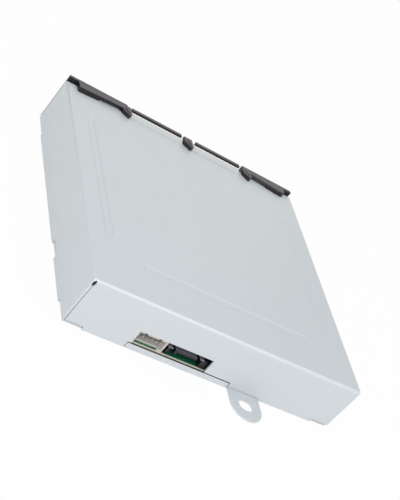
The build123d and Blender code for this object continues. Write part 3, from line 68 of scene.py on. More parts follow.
class Tone:
    """One output of a material's nodes, so that its shading can be written as sums."""

    def __init__(self, tree, socket):
        self.tree = tree
        self.socket = socket

    def node(self, kind, settings, sockets, output=0):
        made = self.tree.nodes.new("ShaderNode" + kind)
        for key, value in settings.items():
            setattr(made, key, value)
        for key, value in sockets.items():
            if isinstance(value, Tone):
                self.tree.links.new(value.socket, made.inputs[key])
            else:
                made.inputs[key].default_value = value
        return Tone(self.tree, made.outputs[output])

    def sum(self, operation, first, second):
        return self.node("Math", {"operation": operation}, {0: first, 1: second})

    def __add__(self, other):
        return self.sum("ADD", self, other)

    def __radd__(self, other):
        return self.sum("ADD", other, self)

    def __mul__(self, other):
        return self.sum("MULTIPLY", self, other)

    def __rmul__(self, other):
        return self.sum("MULTIPLY", other, self)

    def __gt__(self, other):
        return self.sum("GREATER_THAN", self, other)

    def __lt__(self, other):
        return self.sum("LESS_THAN", self, other)

    def between(self, dark, light):
        """The colour that this value picks between two others."""
        return self.node("Mix", {"data_type": "RGBA"}, {0: self, 6: dark, 7: light}, 2)

    def noise(self, scale, detail=2.0):
        return self.node("TexNoise", {}, {"Vector": self, "Scale": scale, "Detail": detail})

    def stretched(self, x, y, z):
        return self.node("Mapping", {}, {"Vector": self, "Scale": (x, y, z)})

    def along(self, axis):
        return self.node("SeparateXYZ", {}, {"Vector": self}, axis)

    def facing(self):
        """The way that the surface faces here."""
        return self.node("NewGeometry", {}, {}, "Normal")

    def relief(self, depth, strength):
        return self.node("Bump", {}, {"Height": self, "Distance": depth, "Strength": strength})

    def to(self, shader, name):
        self.tree.links.new(self.socket, shader.inputs[name])


# Studio floor. A white sweep of paper: it shows pure white, and keeps a faint shadow
# under the drive.
floor_mesh = bpy.data.meshes.new("studio_floor")
floor_mesh.from_pydata(
    [(-6, -6, -0.0002), (6, -6, -0.0002), (6, 6, -0.0002), (-6, 6, -0.0002)], [], [(0, 1, 2, 3)]
)
floor = bpy.data.objects.new("studio_floor", floor_mesh)
scene.collection.objects.link(floor)
paper = bpy.data.materials.new("white_paper")
paper.use_nodes = True
paper_tree = paper.node_tree
paper_shader = paper_tree.nodes["Principled BSDF"]
paper_shader.inputs["Base Color"].default_value = (0.92, 0.92, 0.92, 1)
paper_shader.inputs["Roughness"].default_value = 0.9
ray = paper_tree.nodes.new("ShaderNodeLightPath")
seen = (
    Tone(paper_tree, ray.outputs["Is Camera Ray"])
    + Tone(paper_tree, ray.outputs["Is Glossy Ray"])
    + Tone(paper_tree, ray.outputs["Is Transmission Ray"])
)
glow = seen.node("Emission", {}, {"Color": (1, 1, 1, 1), "Strength": 1.0})
paper_mix = seen.node("MixShader", {}, {0: 0.94 * seen, 2: glow})
paper_tree.links.new(paper_shader.outputs[0], paper_mix.socket.node.inputs[1])
paper_mix.tree.links.new(paper_mix.socket, paper_tree.nodes["Material Output"].inputs[0])
floor_mesh.materials.append(paper)

# Studio light. An even white room with three large soft boxes: one behind the camera
# that lifts the rear wall, one overhead that runs a highlight along the rear bend, and
# one low beyond the front that greys the tops of the black plastic.
world = bpy.data.worlds.new("white_room")
world.use_nodes = True
world.node_tree.nodes["Background"].inputs["Color"].default_value = (1.0, 1.0, 1.0, 1)
world.node_tree.nodes["Background"].inputs["Strength"].default_value = 0.66
scene.world = world
for light_name, heading, reach, width, power in (
    ("rear_soft_box", (0.45, 0.72, 0.53), 1.1, 0.6, 4.65),
    ("overhead_soft_box", (-0.50, 0.36, 0.79), 1.2, 0.3, 1.35),
    ("front_soft_box", (-0.37, -0.83, 0.41), 1.3, 0.6, 0.75),
):
    lamp = bpy.data.lights.new(light_name, "AREA")
    lamp.size = width
    lamp.energy = power
    lamp_object = bpy.data.objects.new(light_name, lamp)
    lamp_object.location = Vector(heading).normalized() * reach
    lamp_object.rotation_euler = Vector(heading).to_track_quat("Z", "Y").to_euler()
    scene.collection.objects.link(lamp_object)


def srgb(red, green, blue):
    """A colour as read from a screen, 0 to 255, as the shader wants it."""
    return tuple(
        (c / 12.92 if c <= 0.04045 else ((c + 0.055) / 1.055) ** 2.4)
        for c in (red / 255, green / 255, blue / 255)
    ) + (1.0,)


def shaded(colour, share):
    """The same colour, darker or lighter."""
    return tuple(min(1.0, c * share) for c in colour[:3]) + (1.0,)


def new_finish(name, colour, roughness, metallic=0.0):
    """A material with its shader, and the place on the object for its patterns."""
    finish = bpy.data.materials.new(name)
    finish.use_nodes = True
    shader = finish.node_tree.nodes["Principled BSDF"]
    shader.inputs["Base Color"].default_value = colour
    shader.inputs["Roughness"].default_value = roughness
    shader.inputs["Metallic"].default_value = metallic
    place = finish.node_tree.nodes.new("ShaderNodeTexCoord").outputs["Object"]
    return finish, shader, Tone(finish.node_tree, place)


def coated_sheet(name, colour, bare_edge_and_highlight, bare_edge_and_highlight_colour):
    """Satin light grey coating on sheet steel: faint orange peel and slightly uneven sheen, with a
    painted highlight over the rear bend. Along one edge it takes a second colour: bare cut steel
    on the pan, a painted highlight on the cover's lip."""
    finish, shader, place = new_finish(name, colour, 0.36)
    cloud = place.noise(26.0, 3.0)
    coating = cloud.between(shaded(colour, 0.985), shaded(colour, 1.012))
    facing = place.facing()
    # Painted highlight: the coating is painted paler where the surface faces between up and rear,
    # most of all on the rear bend, where the bend catches the light.
    painted_bend_highlight = (facing.along("Y") * facing.along("Z")) * (0.4 + 1.5 * (place.along("Y") > rear_bend))
    coating = painted_bend_highlight.between(coating, shaded(colour, 1.21))
    bare_edge_and_highlight(place).between(coating, bare_edge_and_highlight_colour).to(shader, "Base Color")
    (0.30 + 0.12 * place.noise(140.0, 4.0)).to(shader, "Roughness")
    peel = place.noise(2400.0, 2.0) + 0.5 * place.noise(7000.0, 1.0)
    wave = place.noise(45.0, 1.0).relief(0.0004, 0.12)
    fine = peel.relief(0.000012, 0.35)
    fine.tree.links.new(wave.socket, fine.socket.node.inputs["Normal"])
    fine.to(shader, "Normal")
    shader.inputs["Specular IOR Level"].default_value = 0.45
    return finish


def wear(node_names, finish):
    """Gives carried-over pieces their finish."""
    for name in node_names:
        nodes[name].data.materials.clear()
        nodes[name].data.materials.append(finish)


def softened(node, radius, steps, finish, body, reshaped, smooth_from=30.0):
    """The node's shape, reshaped a little and with its sharp edges rounded off, as a piece
    of its own."""
    mesh = nodes[node].data.copy()
    work = bmesh.new()
    work.from_mesh(mesh)
    bmesh.ops.remove_doubles(work, verts=work.verts, dist=0.000002)
    bmesh.ops.dissolve_limit(
        work, angle_limit=math.radians(1.0), verts=work.verts, edges=work.edges, delimit={"NORMAL"}
    )
    reshaped(work)
    work.to_mesh(mesh)
    work.free()
    mesh.materials.clear()
    source = bpy.data.objects.new(node + "_source", mesh)
    scene.collection.objects.link(source)
    rounding = source.modifiers.new("rounding", "BEVEL")
    rounding.width = radius
    rounding.segments = steps
    rounding.limit_method = "ANGLE"
    rounding.angle_limit = math.radians(smooth_from)
    rounding.harden_normals = True
    rounding.use_clamp_overlap = True
    made = bpy.data.meshes.new_from_object(
        source.evaluated_get(bpy.context.evaluated_depsgraph_get())
    )
    bpy.data.objects.remove(source)
    piece = bpy.data.objects.new(node + "_piece", made)
    scene.collection.objects.link(piece)
    piece.data.materials.append(finish)
    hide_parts(node)
    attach(piece, body)


# Bottom pan. Folded steel sheet with the same grey coating as the cover; its slotted ear
# is part of the sheet, and its side tabs snap into the frame.
case_grey = srgb(204, 210, 214)
bend_reach = 0.0040
rear_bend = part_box("top_cover")[1].y - bend_reach
strip_top = 0.0027
strip_depth = 0.0009
strip_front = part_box("top_cover")[1].y - strip_depth
edge_rim = 0.00006
pan_edge = (0.05, 0.047, 0.045, 1)


def upper_cut_edge(place):
    """The bare upper edge of the pan's rear strip, below the window."""
    return (place.along("Z") > strip_top - edge_rim) * (place.along("Y") > strip_front)


wear(["bottom_pan"], coated_sheet("grey_pan_coating", case_grey, upper_cut_edge, pan_edge))


def moulding(name, colour, roughness, grain=3200.0, depth=0.00002):
    """Injection-moulded plastic with the fine grain of its tool."""
    finish, shader, place = new_finish(name, colour, roughness)
    tint = place.noise(90.0, 3.0)
    tint.between(shaded(colour, 0.9), shaded(colour, 1.12)).to(shader, "Base Color")
    (roughness - 0.06 + 0.12 * place.noise(400.0, 3.0)).to(shader, "Roughness")
    place.noise(grain, 3.0).relief(depth, 0.5).to(shader, "Normal")
    return finish


# Loader frame. One black glass-filled moulding round the edge of the drive, which carries
# the gears, sliders and levers and is held between pan and cover.
black_moulding = moulding("black_frame_plastic", (0.016, 0.016, 0.018, 1), 0.5)
wear(["loader_frame", "upper_disc_guide", "lift_frame", "disc_clamp", "rod_clips"], black_moulding)


def pressed_steel(name, colour, roughness, lay):
    """Zinc-coated sheet: faint drawn lines along lay, and cloudy patches of sheen."""
    finish, shader, place = new_finish(name, colour, roughness, 1.0)
    lines = place.stretched(*lay).noise(900.0, 3.0)
    lines.between(shaded(colour, 0.86), shaded(colour, 1.08)).to(shader, "Base Color")
    (roughness - 0.08 + 0.18 * place.noise(120.0, 4.0)).to(shader, "Roughness")
    lines.relief(0.000008, 0.4).to(shader, "Normal")
    return finish


# Loading motor. A small brushed direct-current motor in a drawn steel can with two flat
# sides, pushed into its seat on the frame's floor.
can_steel = pressed_steel("drawn_can_steel", (0.66, 0.66, 0.67, 1), 0.3, (1.0, 0.04, 1.0))
wear(["loading_motor", "sled_motor"], can_steel)


class Plan:
    """A geometry tree in the making, with named sizes as its inputs."""

    def __init__(self, name, **sizes):
        self.tree = bpy.data.node_groups.new(name, "GeometryNodeTree")
        self.tree.interface.new_socket(
            "Geometry", in_out="INPUT", socket_type="NodeSocketGeometry"
        )
        self.tree.interface.new_socket(
            "Geometry", in_out="OUTPUT", socket_type="NodeSocketGeometry"
        )
        for key, value in sizes.items():
            kind = "NodeSocketInt" if isinstance(value, int) else "NodeSocketFloat"
            socket = self.tree.interface.new_socket(key, in_out="INPUT", socket_type=kind)
            socket.default_value = value
        self.entry = self.tree.nodes.new("NodeGroupInput")

    def size(self, name):
        return self.entry.outputs[name]

    def node(self, kind, settings, sockets):
        made = self.tree.nodes.new(kind)
        for key, value in settings.items():
            setattr(made, key, value)
        for key, value in sockets.items():
            for single in value if isinstance(value, list) else [value]:
                if isinstance(single, bpy.types.NodeSocket):
                    self.tree.links.new(single, made.inputs[key])
                else:
                    made.inputs[key].default_value = single
        return made.outputs[0]

    def times(self, value, factor):
        return self.node("ShaderNodeMath", {"operation": "MULTIPLY"}, {0: value, 1: factor})

    def vector(self, **parts):
        return self.node("ShaderNodeCombineXYZ", {}, parts)

    def moved(self, shape, way):
        return self.node("GeometryNodeTransform", {}, {"Geometry": shape, "Translation": way})

    def joined(self, shapes):
        return self.node("GeometryNodeJoinGeometry", {}, {"Geometry": shapes})

    def block(self, size):
        return self.node("GeometryNodeMeshCube", {}, {"Size": size})

    def rod(self, sides, radius, length, share):
        """An upright cylinder, moved along itself by this share of its length."""
        whole = self.node(
            "GeometryNodeMeshCylinder", {}, {"Vertices": sides, "Radius": radius, "Depth": length}
        )
        return self.moved(whole, self.vector(Z=self.times(length, share)))

    def helix(self, steps, turns, radius, height):
        ends = {"Start Radius": radius, "End Radius": radius}
        return self.node(
            "GeometryNodeCurveSpiral",
            {},
            {"Resolution": steps, "Rotations": turns, "Height": height} | ends,
        )

    def wire(self, curve, sides, radius):
        section = self.node(
            "GeometryNodeCurvePrimitiveCircle",
            {"mode": "RADIUS"},
            {"Resolution": sides, "Radius": radius},
        )
        return self.node(
            "GeometryNodeCurveToMesh",
            {},
            {"Curve": curve, "Profile Curve": section, "Fill Caps": True},
        )

    def close(self, geometry, finish):
        whole = self.node("GeometryNodeRealizeInstances", {}, {"Geometry": geometry})
        coated = self.node("GeometryNodeSetMaterial", {}, {"Geometry": whole, "Material": finish})
        self.tree.links.new(coated, self.tree.nodes.new("NodeGroupOutput").inputs[0])


def grown(name, plan, sizes, stand, replaced, body, seeds=None):
    """What a plan makes with these sizes, as a plain piece set down at stand."""
    seed_mesh = bpy.data.meshes.new(name + "_seed")
    seed_mesh.from_pydata(seeds or [(0, 0, 0)], [], [])
    source = bpy.data.objects.new(name + "_source", seed_mesh)
    scene.collection.objects.link(source)
    maker = source.modifiers.new("maker", "NODES")
    maker.node_group = plan.tree
    for item in plan.tree.interface.items_tree:
        if item.item_type == "SOCKET" and item.in_out == "INPUT" and item.name in sizes:
            maker[item.identifier] = sizes[item.name]
    made = bpy.data.meshes.new_from_object(
        source.evaluated_get(bpy.context.evaluated_depsgraph_get())
    )
    source.modifiers.remove(maker)
    bpy.data.objects.remove(source)
    made.transform(stand)
    piece = bpy.data.objects.new(name, made)
    scene.collection.objects.link(piece)
    if replaced:
        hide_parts(*replaced)
    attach(piece, body)


def threaded_rod_plan(name, finish):
    """A round core with one helical ridge from end to end, and a thin shank below it."""
    plan = Plan(
        name, core=0.001, ridge=0.0002, turns=5.0, length=0.01, shank=0.0005, shank_length=0.002
    )
    core = plan.rod(32, plan.size("core"), plan.size("length"), 0.5)
    spiral = plan.helix(24, plan.size("turns"), plan.size("core"), plan.size("length"))
    ridge = plan.wire(spiral, 6, plan.size("ridge"))
    shank = plan.rod(16, plan.size("shank"), plan.size("shank_length"), -0.5)
    plan.close(plan.joined([core, ridge, shank]), finish)
    return plan


def turned_brass(name):
    """Machined brass: fine turning rings and a warm sheen."""
    finish, shader, place = new_finish(name, (0.78, 0.56, 0.25, 1), 0.28, 1.0)
    rings = place.stretched(0.2, 6.0, 0.2).noise(1500.0, 2.0)
    rings.between((0.66, 0.45, 0.18, 1), (0.86, 0.66, 0.33, 1)).to(shader, "Base Color")
    (0.2 + 0.2 * place.noise(700.0, 3.0)).to(shader, "Roughness")
    rings.relief(0.000006, 0.5).to(shader, "Normal")
    return finish


# Motor worm. Machined brass, pressed on the loading motor's shaft; its single thread
# turns the worm wheel by one tooth a turn.
worm_brass = turned_brass("worm_brass")
worm_low, worm_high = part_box("motor_worm")
worm_middle = (worm_low + worm_high) / 2
worm_length = 0.008
worm_ridge = 0.00042
worm_clearance = 0.00003
worm_radius = worm_high.x - worm_middle.x
worm_plan = threaded_rod_plan("worm_thread", worm_brass)
grown(
    "worm_with_thread",
    worm_plan,
    {
        "core": worm_radius - worm_ridge - worm_clearance,
        "ridge": worm_ridge,
        "turns": 6.0,
        "length": worm_length,
        "shank": 0.0005,
        "shank_length": worm_high.y - worm_low.y - worm_length,
    },
    Matrix.Translation((worm_middle.x, worm_low.y + worm_length, worm_middle.z))
    @ Matrix.Rotation(math.pi / 2, 4, "X"),
    ["motor_worm"],
    "worm",
)

# Loading gears. Natural acetal mouldings, each loose on its own post; they carry the
# worm wheel's turn to the feed roller.
acetal = moulding("natural_acetal", srgb(226, 222, 210), 0.4, 2600.0, 0.000008)
wear(
    ["worm_wheel", "transfer_gear", "idler_gear", "roller_gear", "trigger_lever", "screw_bearing"],
    acetal,
)
wear(["rack_nut", "board_spacers"], acetal)


def ground_steel(name, colour, roughness):
    """Bright ground steel: very fine marks and a few duller spots."""
    finish, shader, place = new_finish(name, colour, roughness, 1.0)
    marks = place.noise(5200.0, 2.0)
    marks.between(shaded(colour, 0.9), shaded(colour, 1.06)).to(shader, "Base Color")
    (roughness - 0.05 + 0.16 * place.noise(260.0, 4.0)).to(shader, "Roughness")
    marks.relief(0.000003, 0.4).to(shader, "Normal")
    return finish


# Shafts and pins. Ground steel wire, cut to length and pressed into the frame, or held
# by the bracket's arms.
bright_steel = ground_steel("ground_shaft_steel", (0.72, 0.72, 0.73, 1), 0.2)
wear(
    ["wheel_shaft", "bracket_pivot_pin", "roller_shaft", "guide_rods", "spindle_rotor"],
    bright_steel,
)

# Feed roller sleeves. Soft black rubber pushed on the shaft, larger at the ends, so that
# the disc is gripped by its rim alone.
rubber, rubber_shader, rubber_place = new_finish(
    "black_roller_rubber", (0.018, 0.018, 0.019, 1), 0.8
)
dusty = rubber_place.noise(500.0, 4.0)
dusty.between((0.012, 0.012, 0.013, 1), (0.035, 0.034, 0.033, 1)).to(rubber_shader, "Base Color")
(0.68 + 0.25 * rubber_place.noise(1600.0, 3.0)).to(rubber_shader, "Roughness")
rubber_place.noise(2800.0, 3.0).relief(0.00003, 0.6).to(rubber_shader, "Normal")
wear(["roller_sleeves", "damper_grommets", "turntable_pad"], rubber)

# Roller bracket, cam sliders, sync lever, clamp bridge and deck. Pressed and folded
# zinc-coated sheet steel, with the drawn lines of the strip left in.
zinc_sheet = pressed_steel("zinc_sheet", (0.60, 0.61, 0.61, 1), 0.36, (0.05, 1.0, 1.0))
wear(
    ["roller_bracket", "right_cam_slider", "left_cam_slider", "sync_lever", "clamp_bridge"],
    zinc_sheet,
)
wear(["traverse_deck", "pickup_cover"], zinc_sheet)


def coil_plan(name, finish):
    """A coil of round wire with one straight leg."""
    plan = Plan(name, wire=0.0002, coil=0.0015, turns=3.0, length=0.002, tail=0.006)
    spiral = plan.helix(32, plan.size("turns"), plan.size("coil"), plan.size("length"))
    start = plan.vector(X=plan.size("coil"))
    end = plan.vector(X=plan.size("coil"), Y=plan.size("tail"))
    leg = plan.node(
        "GeometryNodeCurvePrimitiveLine", {"mode": "POINTS"}, {"Start": start, "End": end}
    )
    plan.close(plan.wire(plan.joined([spiral, leg]), 10, plan.size("wire")), finish)
    return plan


# Bracket spring. Steel spring wire wound on the left pivot pin, which holds the roller
# up against the disc; its leg leans on the frame.
spring_steel = ground_steel("spring_wire_steel", (0.42, 0.42, 0.44, 1), 0.28)
spring_plan = coil_plan("wire_coil", spring_steel)
spring_low, spring_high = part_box("bracket_spring")
pin_low, pin_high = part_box("bracket_pivot_pin")
spring_axis = (pin_low + pin_high) / 2
spring_wire = 0.00024
coil_gap = 0.0005
tail_gap = 0.0003
grown(
    "bracket_torsion_spring",
    spring_plan,
    {
        "wire": spring_wire,
        "coil": 0.0018,
        "turns": 3.0,
        "length": spring_high.x - spring_low.x - coil_gap,
        "tail": spring_axis.y - spring_low.y - tail_gap,
    },
    Matrix.Translation((spring_low.x + coil_gap / 2, spring_axis.y, spring_axis.z))
    @ Matrix(((0, 0, 1, 0), (0, -1, 0, 0), (1, 0, 0, 0), (0, 0, 0, 1))),
    ["bracket_spring"],
    "casing",
)

# Trigger spring. A flat coil round the trigger lever's post that brings the lever back
# when the disc has gone.
trigger_low, trigger_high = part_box("trigger_spring")
trigger_post = 0.054
grown(
    "trigger_return_spring",
    spring_plan,
    {
        "wire": spring_wire,
        "coil": 0.0021,
        "turns": 2.0,
        "length": 0.00036,
        "tail": trigger_high.x - trigger_post - tail_gap,
    },
    Matrix.Translation((trigger_post, trigger_post, trigger_low.z + coil_gap / 2))
    @ Matrix(((0, 1, 0, 0), (1, 0, 0, 0), (0, 0, 1, 0), (0, 0, 0, 1))),
    ["trigger_spring"],
    "casing",
)

# Lead screw. Rolled thread on the sled motor's long shaft; a turn moves the pickup by
# one lead, 3 mm.
feed_joint = next(j for j in frame["joints"] if j["name"] == "screw_spin")
feed_axis = Vector(feed_joint["axis"]).normalized()
feed_point = Vector(feed_joint["pos_m"])
along = [(v.co - feed_point).dot(feed_axis) for v in nodes["lead_screw"].data.vertices]
screw_start = feed_point + min(along) * feed_axis
screw_length = max(along) - min(along)
screw_lead = 0.003
grown(
    "lead_screw_with_thread",
    threaded_rod_plan("lead_thread", bright_steel),
    {
        "core": 0.00100,
        "ridge": 0.00024,
        "turns": screw_length / screw_lead,
        "length": screw_length,
        "shank": 0.0009,
        "shank_length": 0.0004,
    },
    Matrix.Translation(screw_start) @ feed_axis.to_track_quat("Z", "Y").to_matrix().to_4x4(),
    ["lead_screw"],
    "screw",
)

# Spindle motor. Laminated iron teeth wound with enamelled copper wire, inside the
# drawn rotor cup.
spindle_joint = next(j for j in frame["joints"] if j["name"] == "spindle_spin")
spindle_point = Vector(spindle_joint["pos_m"])
winding, winding_shader, winding_place = new_finish(
    "wound_copper", (0.55, 0.22, 0.08, 1), 0.3, 1.0
)
from_spindle = winding_place.node(
    "Mapping", {}, {"Vector": winding_place, "Location": tuple(-spindle_point)}
)
wires = winding_place.node(
    "TexWave",
    {"wave_type": "RINGS", "rings_direction": "Z"},
    {"Vector": from_spindle, "Scale": 1400.0},
)
wires.between((0.38, 0.12, 0.04, 1), (0.72, 0.33, 0.14, 1)).to(winding_shader, "Base Color")
(0.25 + 0.2 * winding_place.noise(900.0)).to(winding_shader, "Roughness")
wires.relief(0.00004, 0.6).to(winding_shader, "Normal")
wear(["spindle_stator"], winding)

# Turntable and centring hub. Black moulded plastic pressed on the rotor, the hub with
# three openings, where the real one has the sprung fingers that centre the disc.
table_plastic = moulding("turntable_plastic", (0.02, 0.02, 0.022, 1), 0.38, 2600.0, 0.00001)
wear(["turntable", "centring_hub"], table_plastic)

# Pickup sled. Die-cast zinc, grey and slightly rough from the die, which carries the
# laser and slides on the two rods.
cast, cast_shader, cast_place = new_finish("die_cast_sled", (0.34, 0.34, 0.35, 1), 0.48, 1.0)
cast_cloud = cast_place.noise(160.0, 5.0)
cast_cloud.between((0.25, 0.25, 0.26, 1), (0.40, 0.40, 0.41, 1)).to(cast_shader, "Base Color")
(0.42 + 0.2 * cast_place.noise(800.0, 4.0)).to(cast_shader, "Roughness")
cast_place.noise(1900.0, 4.0).relief(0.00003, 0.5).to(cast_shader, "Normal")
wear(["pickup_sled"], cast)

# Lens holder and lenses. Black liquid-crystal polymer that floats on wires, with two
# coated lenses that look blue when they catch the light.
wear(
    ["lens_holder"],
    moulding("lens_holder_polymer", (0.012, 0.012, 0.014, 1), 0.45, 3000.0, 0.00001),
)
lens_glass, lens_shader, lens_place = new_finish("coated_lens", (0.30, 0.42, 0.75, 1), 0.05)
lens_tint = lens_place.noise(350.0)
lens_tint.between((0.20, 0.30, 0.72, 1), (0.42, 0.36, 0.78, 1)).to(lens_shader, "Base Color")
(0.03 + 0.05 * lens_place.noise(900.0)).to(lens_shader, "Roughness")
lens_shader.inputs["Transmission Weight"].default_value = 0.55
lens_shader.inputs["IOR"].default_value = 1.52
lens_shader.inputs["Coat Weight"].default_value = 0.6
wear(["objective_lenses"], lens_glass)


def track_runs(place, low, high, line, smooth, output):
    """Runs of parallel tracks: wide bricks, with the tracks as the joints between them."""
    return place.node(
        "TexBrick",
        {"offset": 0.35, "squash": 0.6, "squash_frequency": 3},
        {
            "Vector": place,
            "Color1": low,
            "Color2": high,
            "Mortar": line,
            "Scale": 420.0,
            "Mortar Size": 0.035,
            "Mortar Smooth": smooth,
            "Brick Width": 1.7,
            "Row Height": 0.42,
        },
        output,
    )


# Logic board. Glass-fibre board under green solder mask, with its copper tracks showing
# as lighter lines and its plated holes as small dots; the mask ends short of the rear edge.
mask, mask_shader, mask_place = new_finish("green_solder_mask", srgb(12, 104, 72), 0.3)
tracks = track_runs(
    mask_place, srgb(8, 88, 62), srgb(12, 104, 74), srgb(40, 138, 104), 0.2, "Color"
)
holes = mask_place.node(
    "TexVoronoi",
    {"voronoi_dimensions": "2D"},
    {"Vector": mask_place, "Scale": 330.0, "Randomness": 0.9},
)
masked = (holes < 0.08).between(tracks, srgb(96, 120, 84))
bare_width = 0.0007
bare_border = mask_place.along("Y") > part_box("logic_board")[1].y - bare_width
bare_border.between(masked, srgb(233, 229, 214)).to(mask_shader, "Base Color")
(0.24 + 0.16 * mask_place.noise(600.0, 3.0)).to(mask_shader, "Roughness")
raised = track_runs(mask_place, (0, 0, 0, 1), (0, 0, 0, 1), (1, 1, 1, 1), 0.1, "Fac")
raised.relief(0.00003, 0.5).to(mask_shader, "Normal")
mask_shader.inputs["Coat Weight"].default_value = 0.3
wear(["logic_board"], mask)

# Chips. Black moulded epoxy packages soldered flat on the board, dull on top, with rows
# of tinned legs.
epoxy = moulding("chip_epoxy", (0.022, 0.022, 0.024, 1), 0.62, 4200.0, 0.00001)
wear(["controller_chip", "driver_chips", "memory_chip"], epoxy)
tinned = ground_steel("tinned_leads", (0.70, 0.70, 0.68, 1), 0.3)
leg_width = 0.00028
leg_length = 0.0009
leg_height = 0.00042
lead_sheet = 0.00012
legs_plan = Plan("chip_legs", side=0.014, pitch=0.0006, count=20)
leg = legs_plan.block((leg_width, leg_length, lead_sheet))
leg = legs_plan.moved(leg, (0, 0.0006, 0.00007))
foot = legs_plan.block((leg_width, lead_sheet, leg_height))
foot = legs_plan.moved(foot, (0, 0.0002, 0.00028))
gull = legs_plan.joined([leg, foot])
pitch = legs_plan.size("pitch")
leg_gaps = legs_plan.node(
    "ShaderNodeMath", {"operation": "SUBTRACT"}, {0: legs_plan.size("count"), 1: 1.0}
)
row_start = legs_plan.vector(
    X=legs_plan.times(legs_plan.times(leg_gaps, pitch), -0.5),
    Y=legs_plan.times(legs_plan.size("side"), 0.5),
)
row = legs_plan.node(
    "GeometryNodeMeshLine",
    {"mode": "OFFSET"},
    {
        "Count": legs_plan.size("count"),
        "Start Location": row_start,
        "Offset": legs_plan.vector(X=pitch),
    },
)
rows = legs_plan.node("GeometryNodeInstanceOnPoints", {}, {"Points": row, "Instance": gull})
around = [
    legs_plan.node(
        "GeometryNodeTransform", {}, {"Geometry": rows, "Rotation": (0, 0, turn * math.pi / 2)}
    )
    for turn in range(4)
]
legs_plan.close(legs_plan.joined(around), tinned)
board_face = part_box("controller_chip")[0].z
for chip_name, chip_centre, chip_side, chip_count in (
    ("controller_legs", (0.016, 0.041), 0.014, 22),
    ("left_driver_legs", (-0.010, 0.044), 0.009, 12),
    ("right_driver_legs", (0.038, 0.044), 0.009, 12),
):
    grown(
        chip_name,
        legs_plan,
        {"side": chip_side, "pitch": 0.00055, "count": chip_count},
        Matrix.Translation((chip_centre[0], chip_centre[1], board_face)),
        [],
        "casing",
    )

# Capacitors. Small electrolytic ones in bare drawn aluminium cans, soldered upright on the
# board near its rear edge.
wear(["board_capacitors"], can_steel)


def shading_of(finish):
    """A finish's shader and its place on the object, for a pattern of the piece's own."""
    tree = finish.node_tree
    place = Tone(tree, tree.nodes["Texture Coordinate"].outputs["Object"])
    return tree.nodes["Principled BSDF"], place


# Signal header. Black high-temperature nylon, open to the rear, with seven gold-plated
# contacts under its tongue.
header_black = moulding("signal_header_nylon", srgb(30, 30, 38), 0.4, 3600.0, 0.00001)
header_shader, header_place = shading_of(header_black)
header_low, header_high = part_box("sata_header")
header_sheen_depth = 0.00045
cheek_rim = 0.0003
# Painted sheen: the header's top faces are painted pale grey where the black nylon catches the
# light.
painted_header_sheen = header_place.along("Z") > header_high.z - header_sheen_depth
painted_header_sheen = painted_header_sheen * (header_place.along("X") > header_low.x + cheek_rim)
painted_header_sheen.between(srgb(26, 26, 34), srgb(134, 132, 142)).to(header_shader, "Base Color")
cheek_growth = 0.0018
near = 0.0001


def with_wide_cheek(work):
    """Carries the outer cheek on to the window's end."""
    for corner in work.verts:
        if corner.co.x < header_low.x + near:
            corner.co.x -= cheek_growth


softened("sata_header", 0.0001, 1, header_black, "casing", with_wide_cheek)
gold = ground_steel("gold_plating", (0.83, 0.62, 0.28, 1), 0.22)
wear(["sata_contacts"], gold)

# Power header and flex sockets. Ivory nylon mouldings soldered to the board, greyed a
# little; the header's square pins are tinned. The sill in the header's mouth is short.
ivory = moulding("ivory_nylon", srgb(208, 204, 198), 0.5, 3000.0, 0.00001)
wear(["flex_sockets"], ivory)
power_low, power_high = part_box("power_header")
sill_recess = 0.0026
sill_height = 0.0017
sill_cut = 0.0013


def with_short_sill(work):
    """Brings the edge of the floor's cut-out nearer to the mouth."""
    for corner in work.verts:
        recess = power_high.y - corner.co.y
        if abs(recess - sill_recess) < near and corner.co.z < power_low.z + sill_height:
            corner.co.y += sill_cut


softened("power_header", 0.00012, 2, ivory, "casing", with_short_sill)
wear(["power_pins"], tinned)

# Flat cable. Amber polyimide film over flat copper conductors, laid along the pan from
# the motor to its socket.
film, film_shader, film_place = new_finish("amber_flat_cable", (0.45, 0.21, 0.04, 1), 0.3)
strands = film_place.node(
    "TexWave", {"bands_direction": "X"}, {"Vector": film_place, "Scale": 320.0}
)
strands.between((0.32, 0.13, 0.02, 1), (0.60, 0.33, 0.09, 1)).to(film_shader, "Base Color")
(0.22 + 0.15 * film_place.noise(300.0)).to(film_shader, "Roughness")
strands.relief(0.00004, 0.3).to(film_shader, "Normal")
wear(["motor_flex"], film)


def screw_head_plan(name, finish):
    """Pan heads with a cross recess, one at each point, with their shanks below."""
    plan = Plan(name, head=0.002, height=0.0007, shank=0.0008, length=0.0016)
    height = plan.size("height")
    head = plan.rod(32, plan.size("head"), height, 0.5)
    long = plan.times(plan.size("head"), 1.1)
    thin = plan.times(plan.size("head"), 0.26)
    arms = [
        plan.moved(plan.block(plan.vector(X=x, Y=y, Z=height)), plan.vector(Z=height))
        for x, y in ((long, thin), (thin, long))
    ]
    cut = plan.node(
        "GeometryNodeMeshBoolean",
        {"operation": "DIFFERENCE", "solver": "EXACT"},
        {"Mesh 1": head, "Mesh 2": arms},
    )
    shank = plan.rod(16, plan.size("shank"), plan.size("length"), -0.5)
    screw = plan.joined([cut, shank])
    spread = plan.node(
        "GeometryNodeInstanceOnPoints", {}, {"Points": plan.size("Geometry"), "Instance": screw}
    )
    plan.close(spread, finish)
    return plan


# Board and bridge screws. Small zinc-plated pan heads with a cross recess, driven into
# the pan's spacers and the frame's seats.
screw_plan = screw_head_plan("pan_head_screws", tinned)
board_low, board_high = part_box("board_screws")
bridge_low, bridge_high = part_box("bridge_screws")
shank_length = 0.0016
for screws_name, low, high, head, shank in (
    ("board_screws", board_low, board_high, 0.002, 0.0008),
    ("bridge_screws", bridge_low, bridge_high, 0.0012, 0.0006),
):
    seat = low.z + shank_length
    grown(
        screws_name + "_cross",
        screw_plan,
        {"head": head, "height": high.z - seat, "shank": shank, "length": shank_length},
        Matrix.Identity(4),
        [screws_name],
        "casing",
        [
            (x, y, seat)
            for x in (low.x + head, high.x - head)
            for y in (low.y + head, high.y - head)
        ],
    )

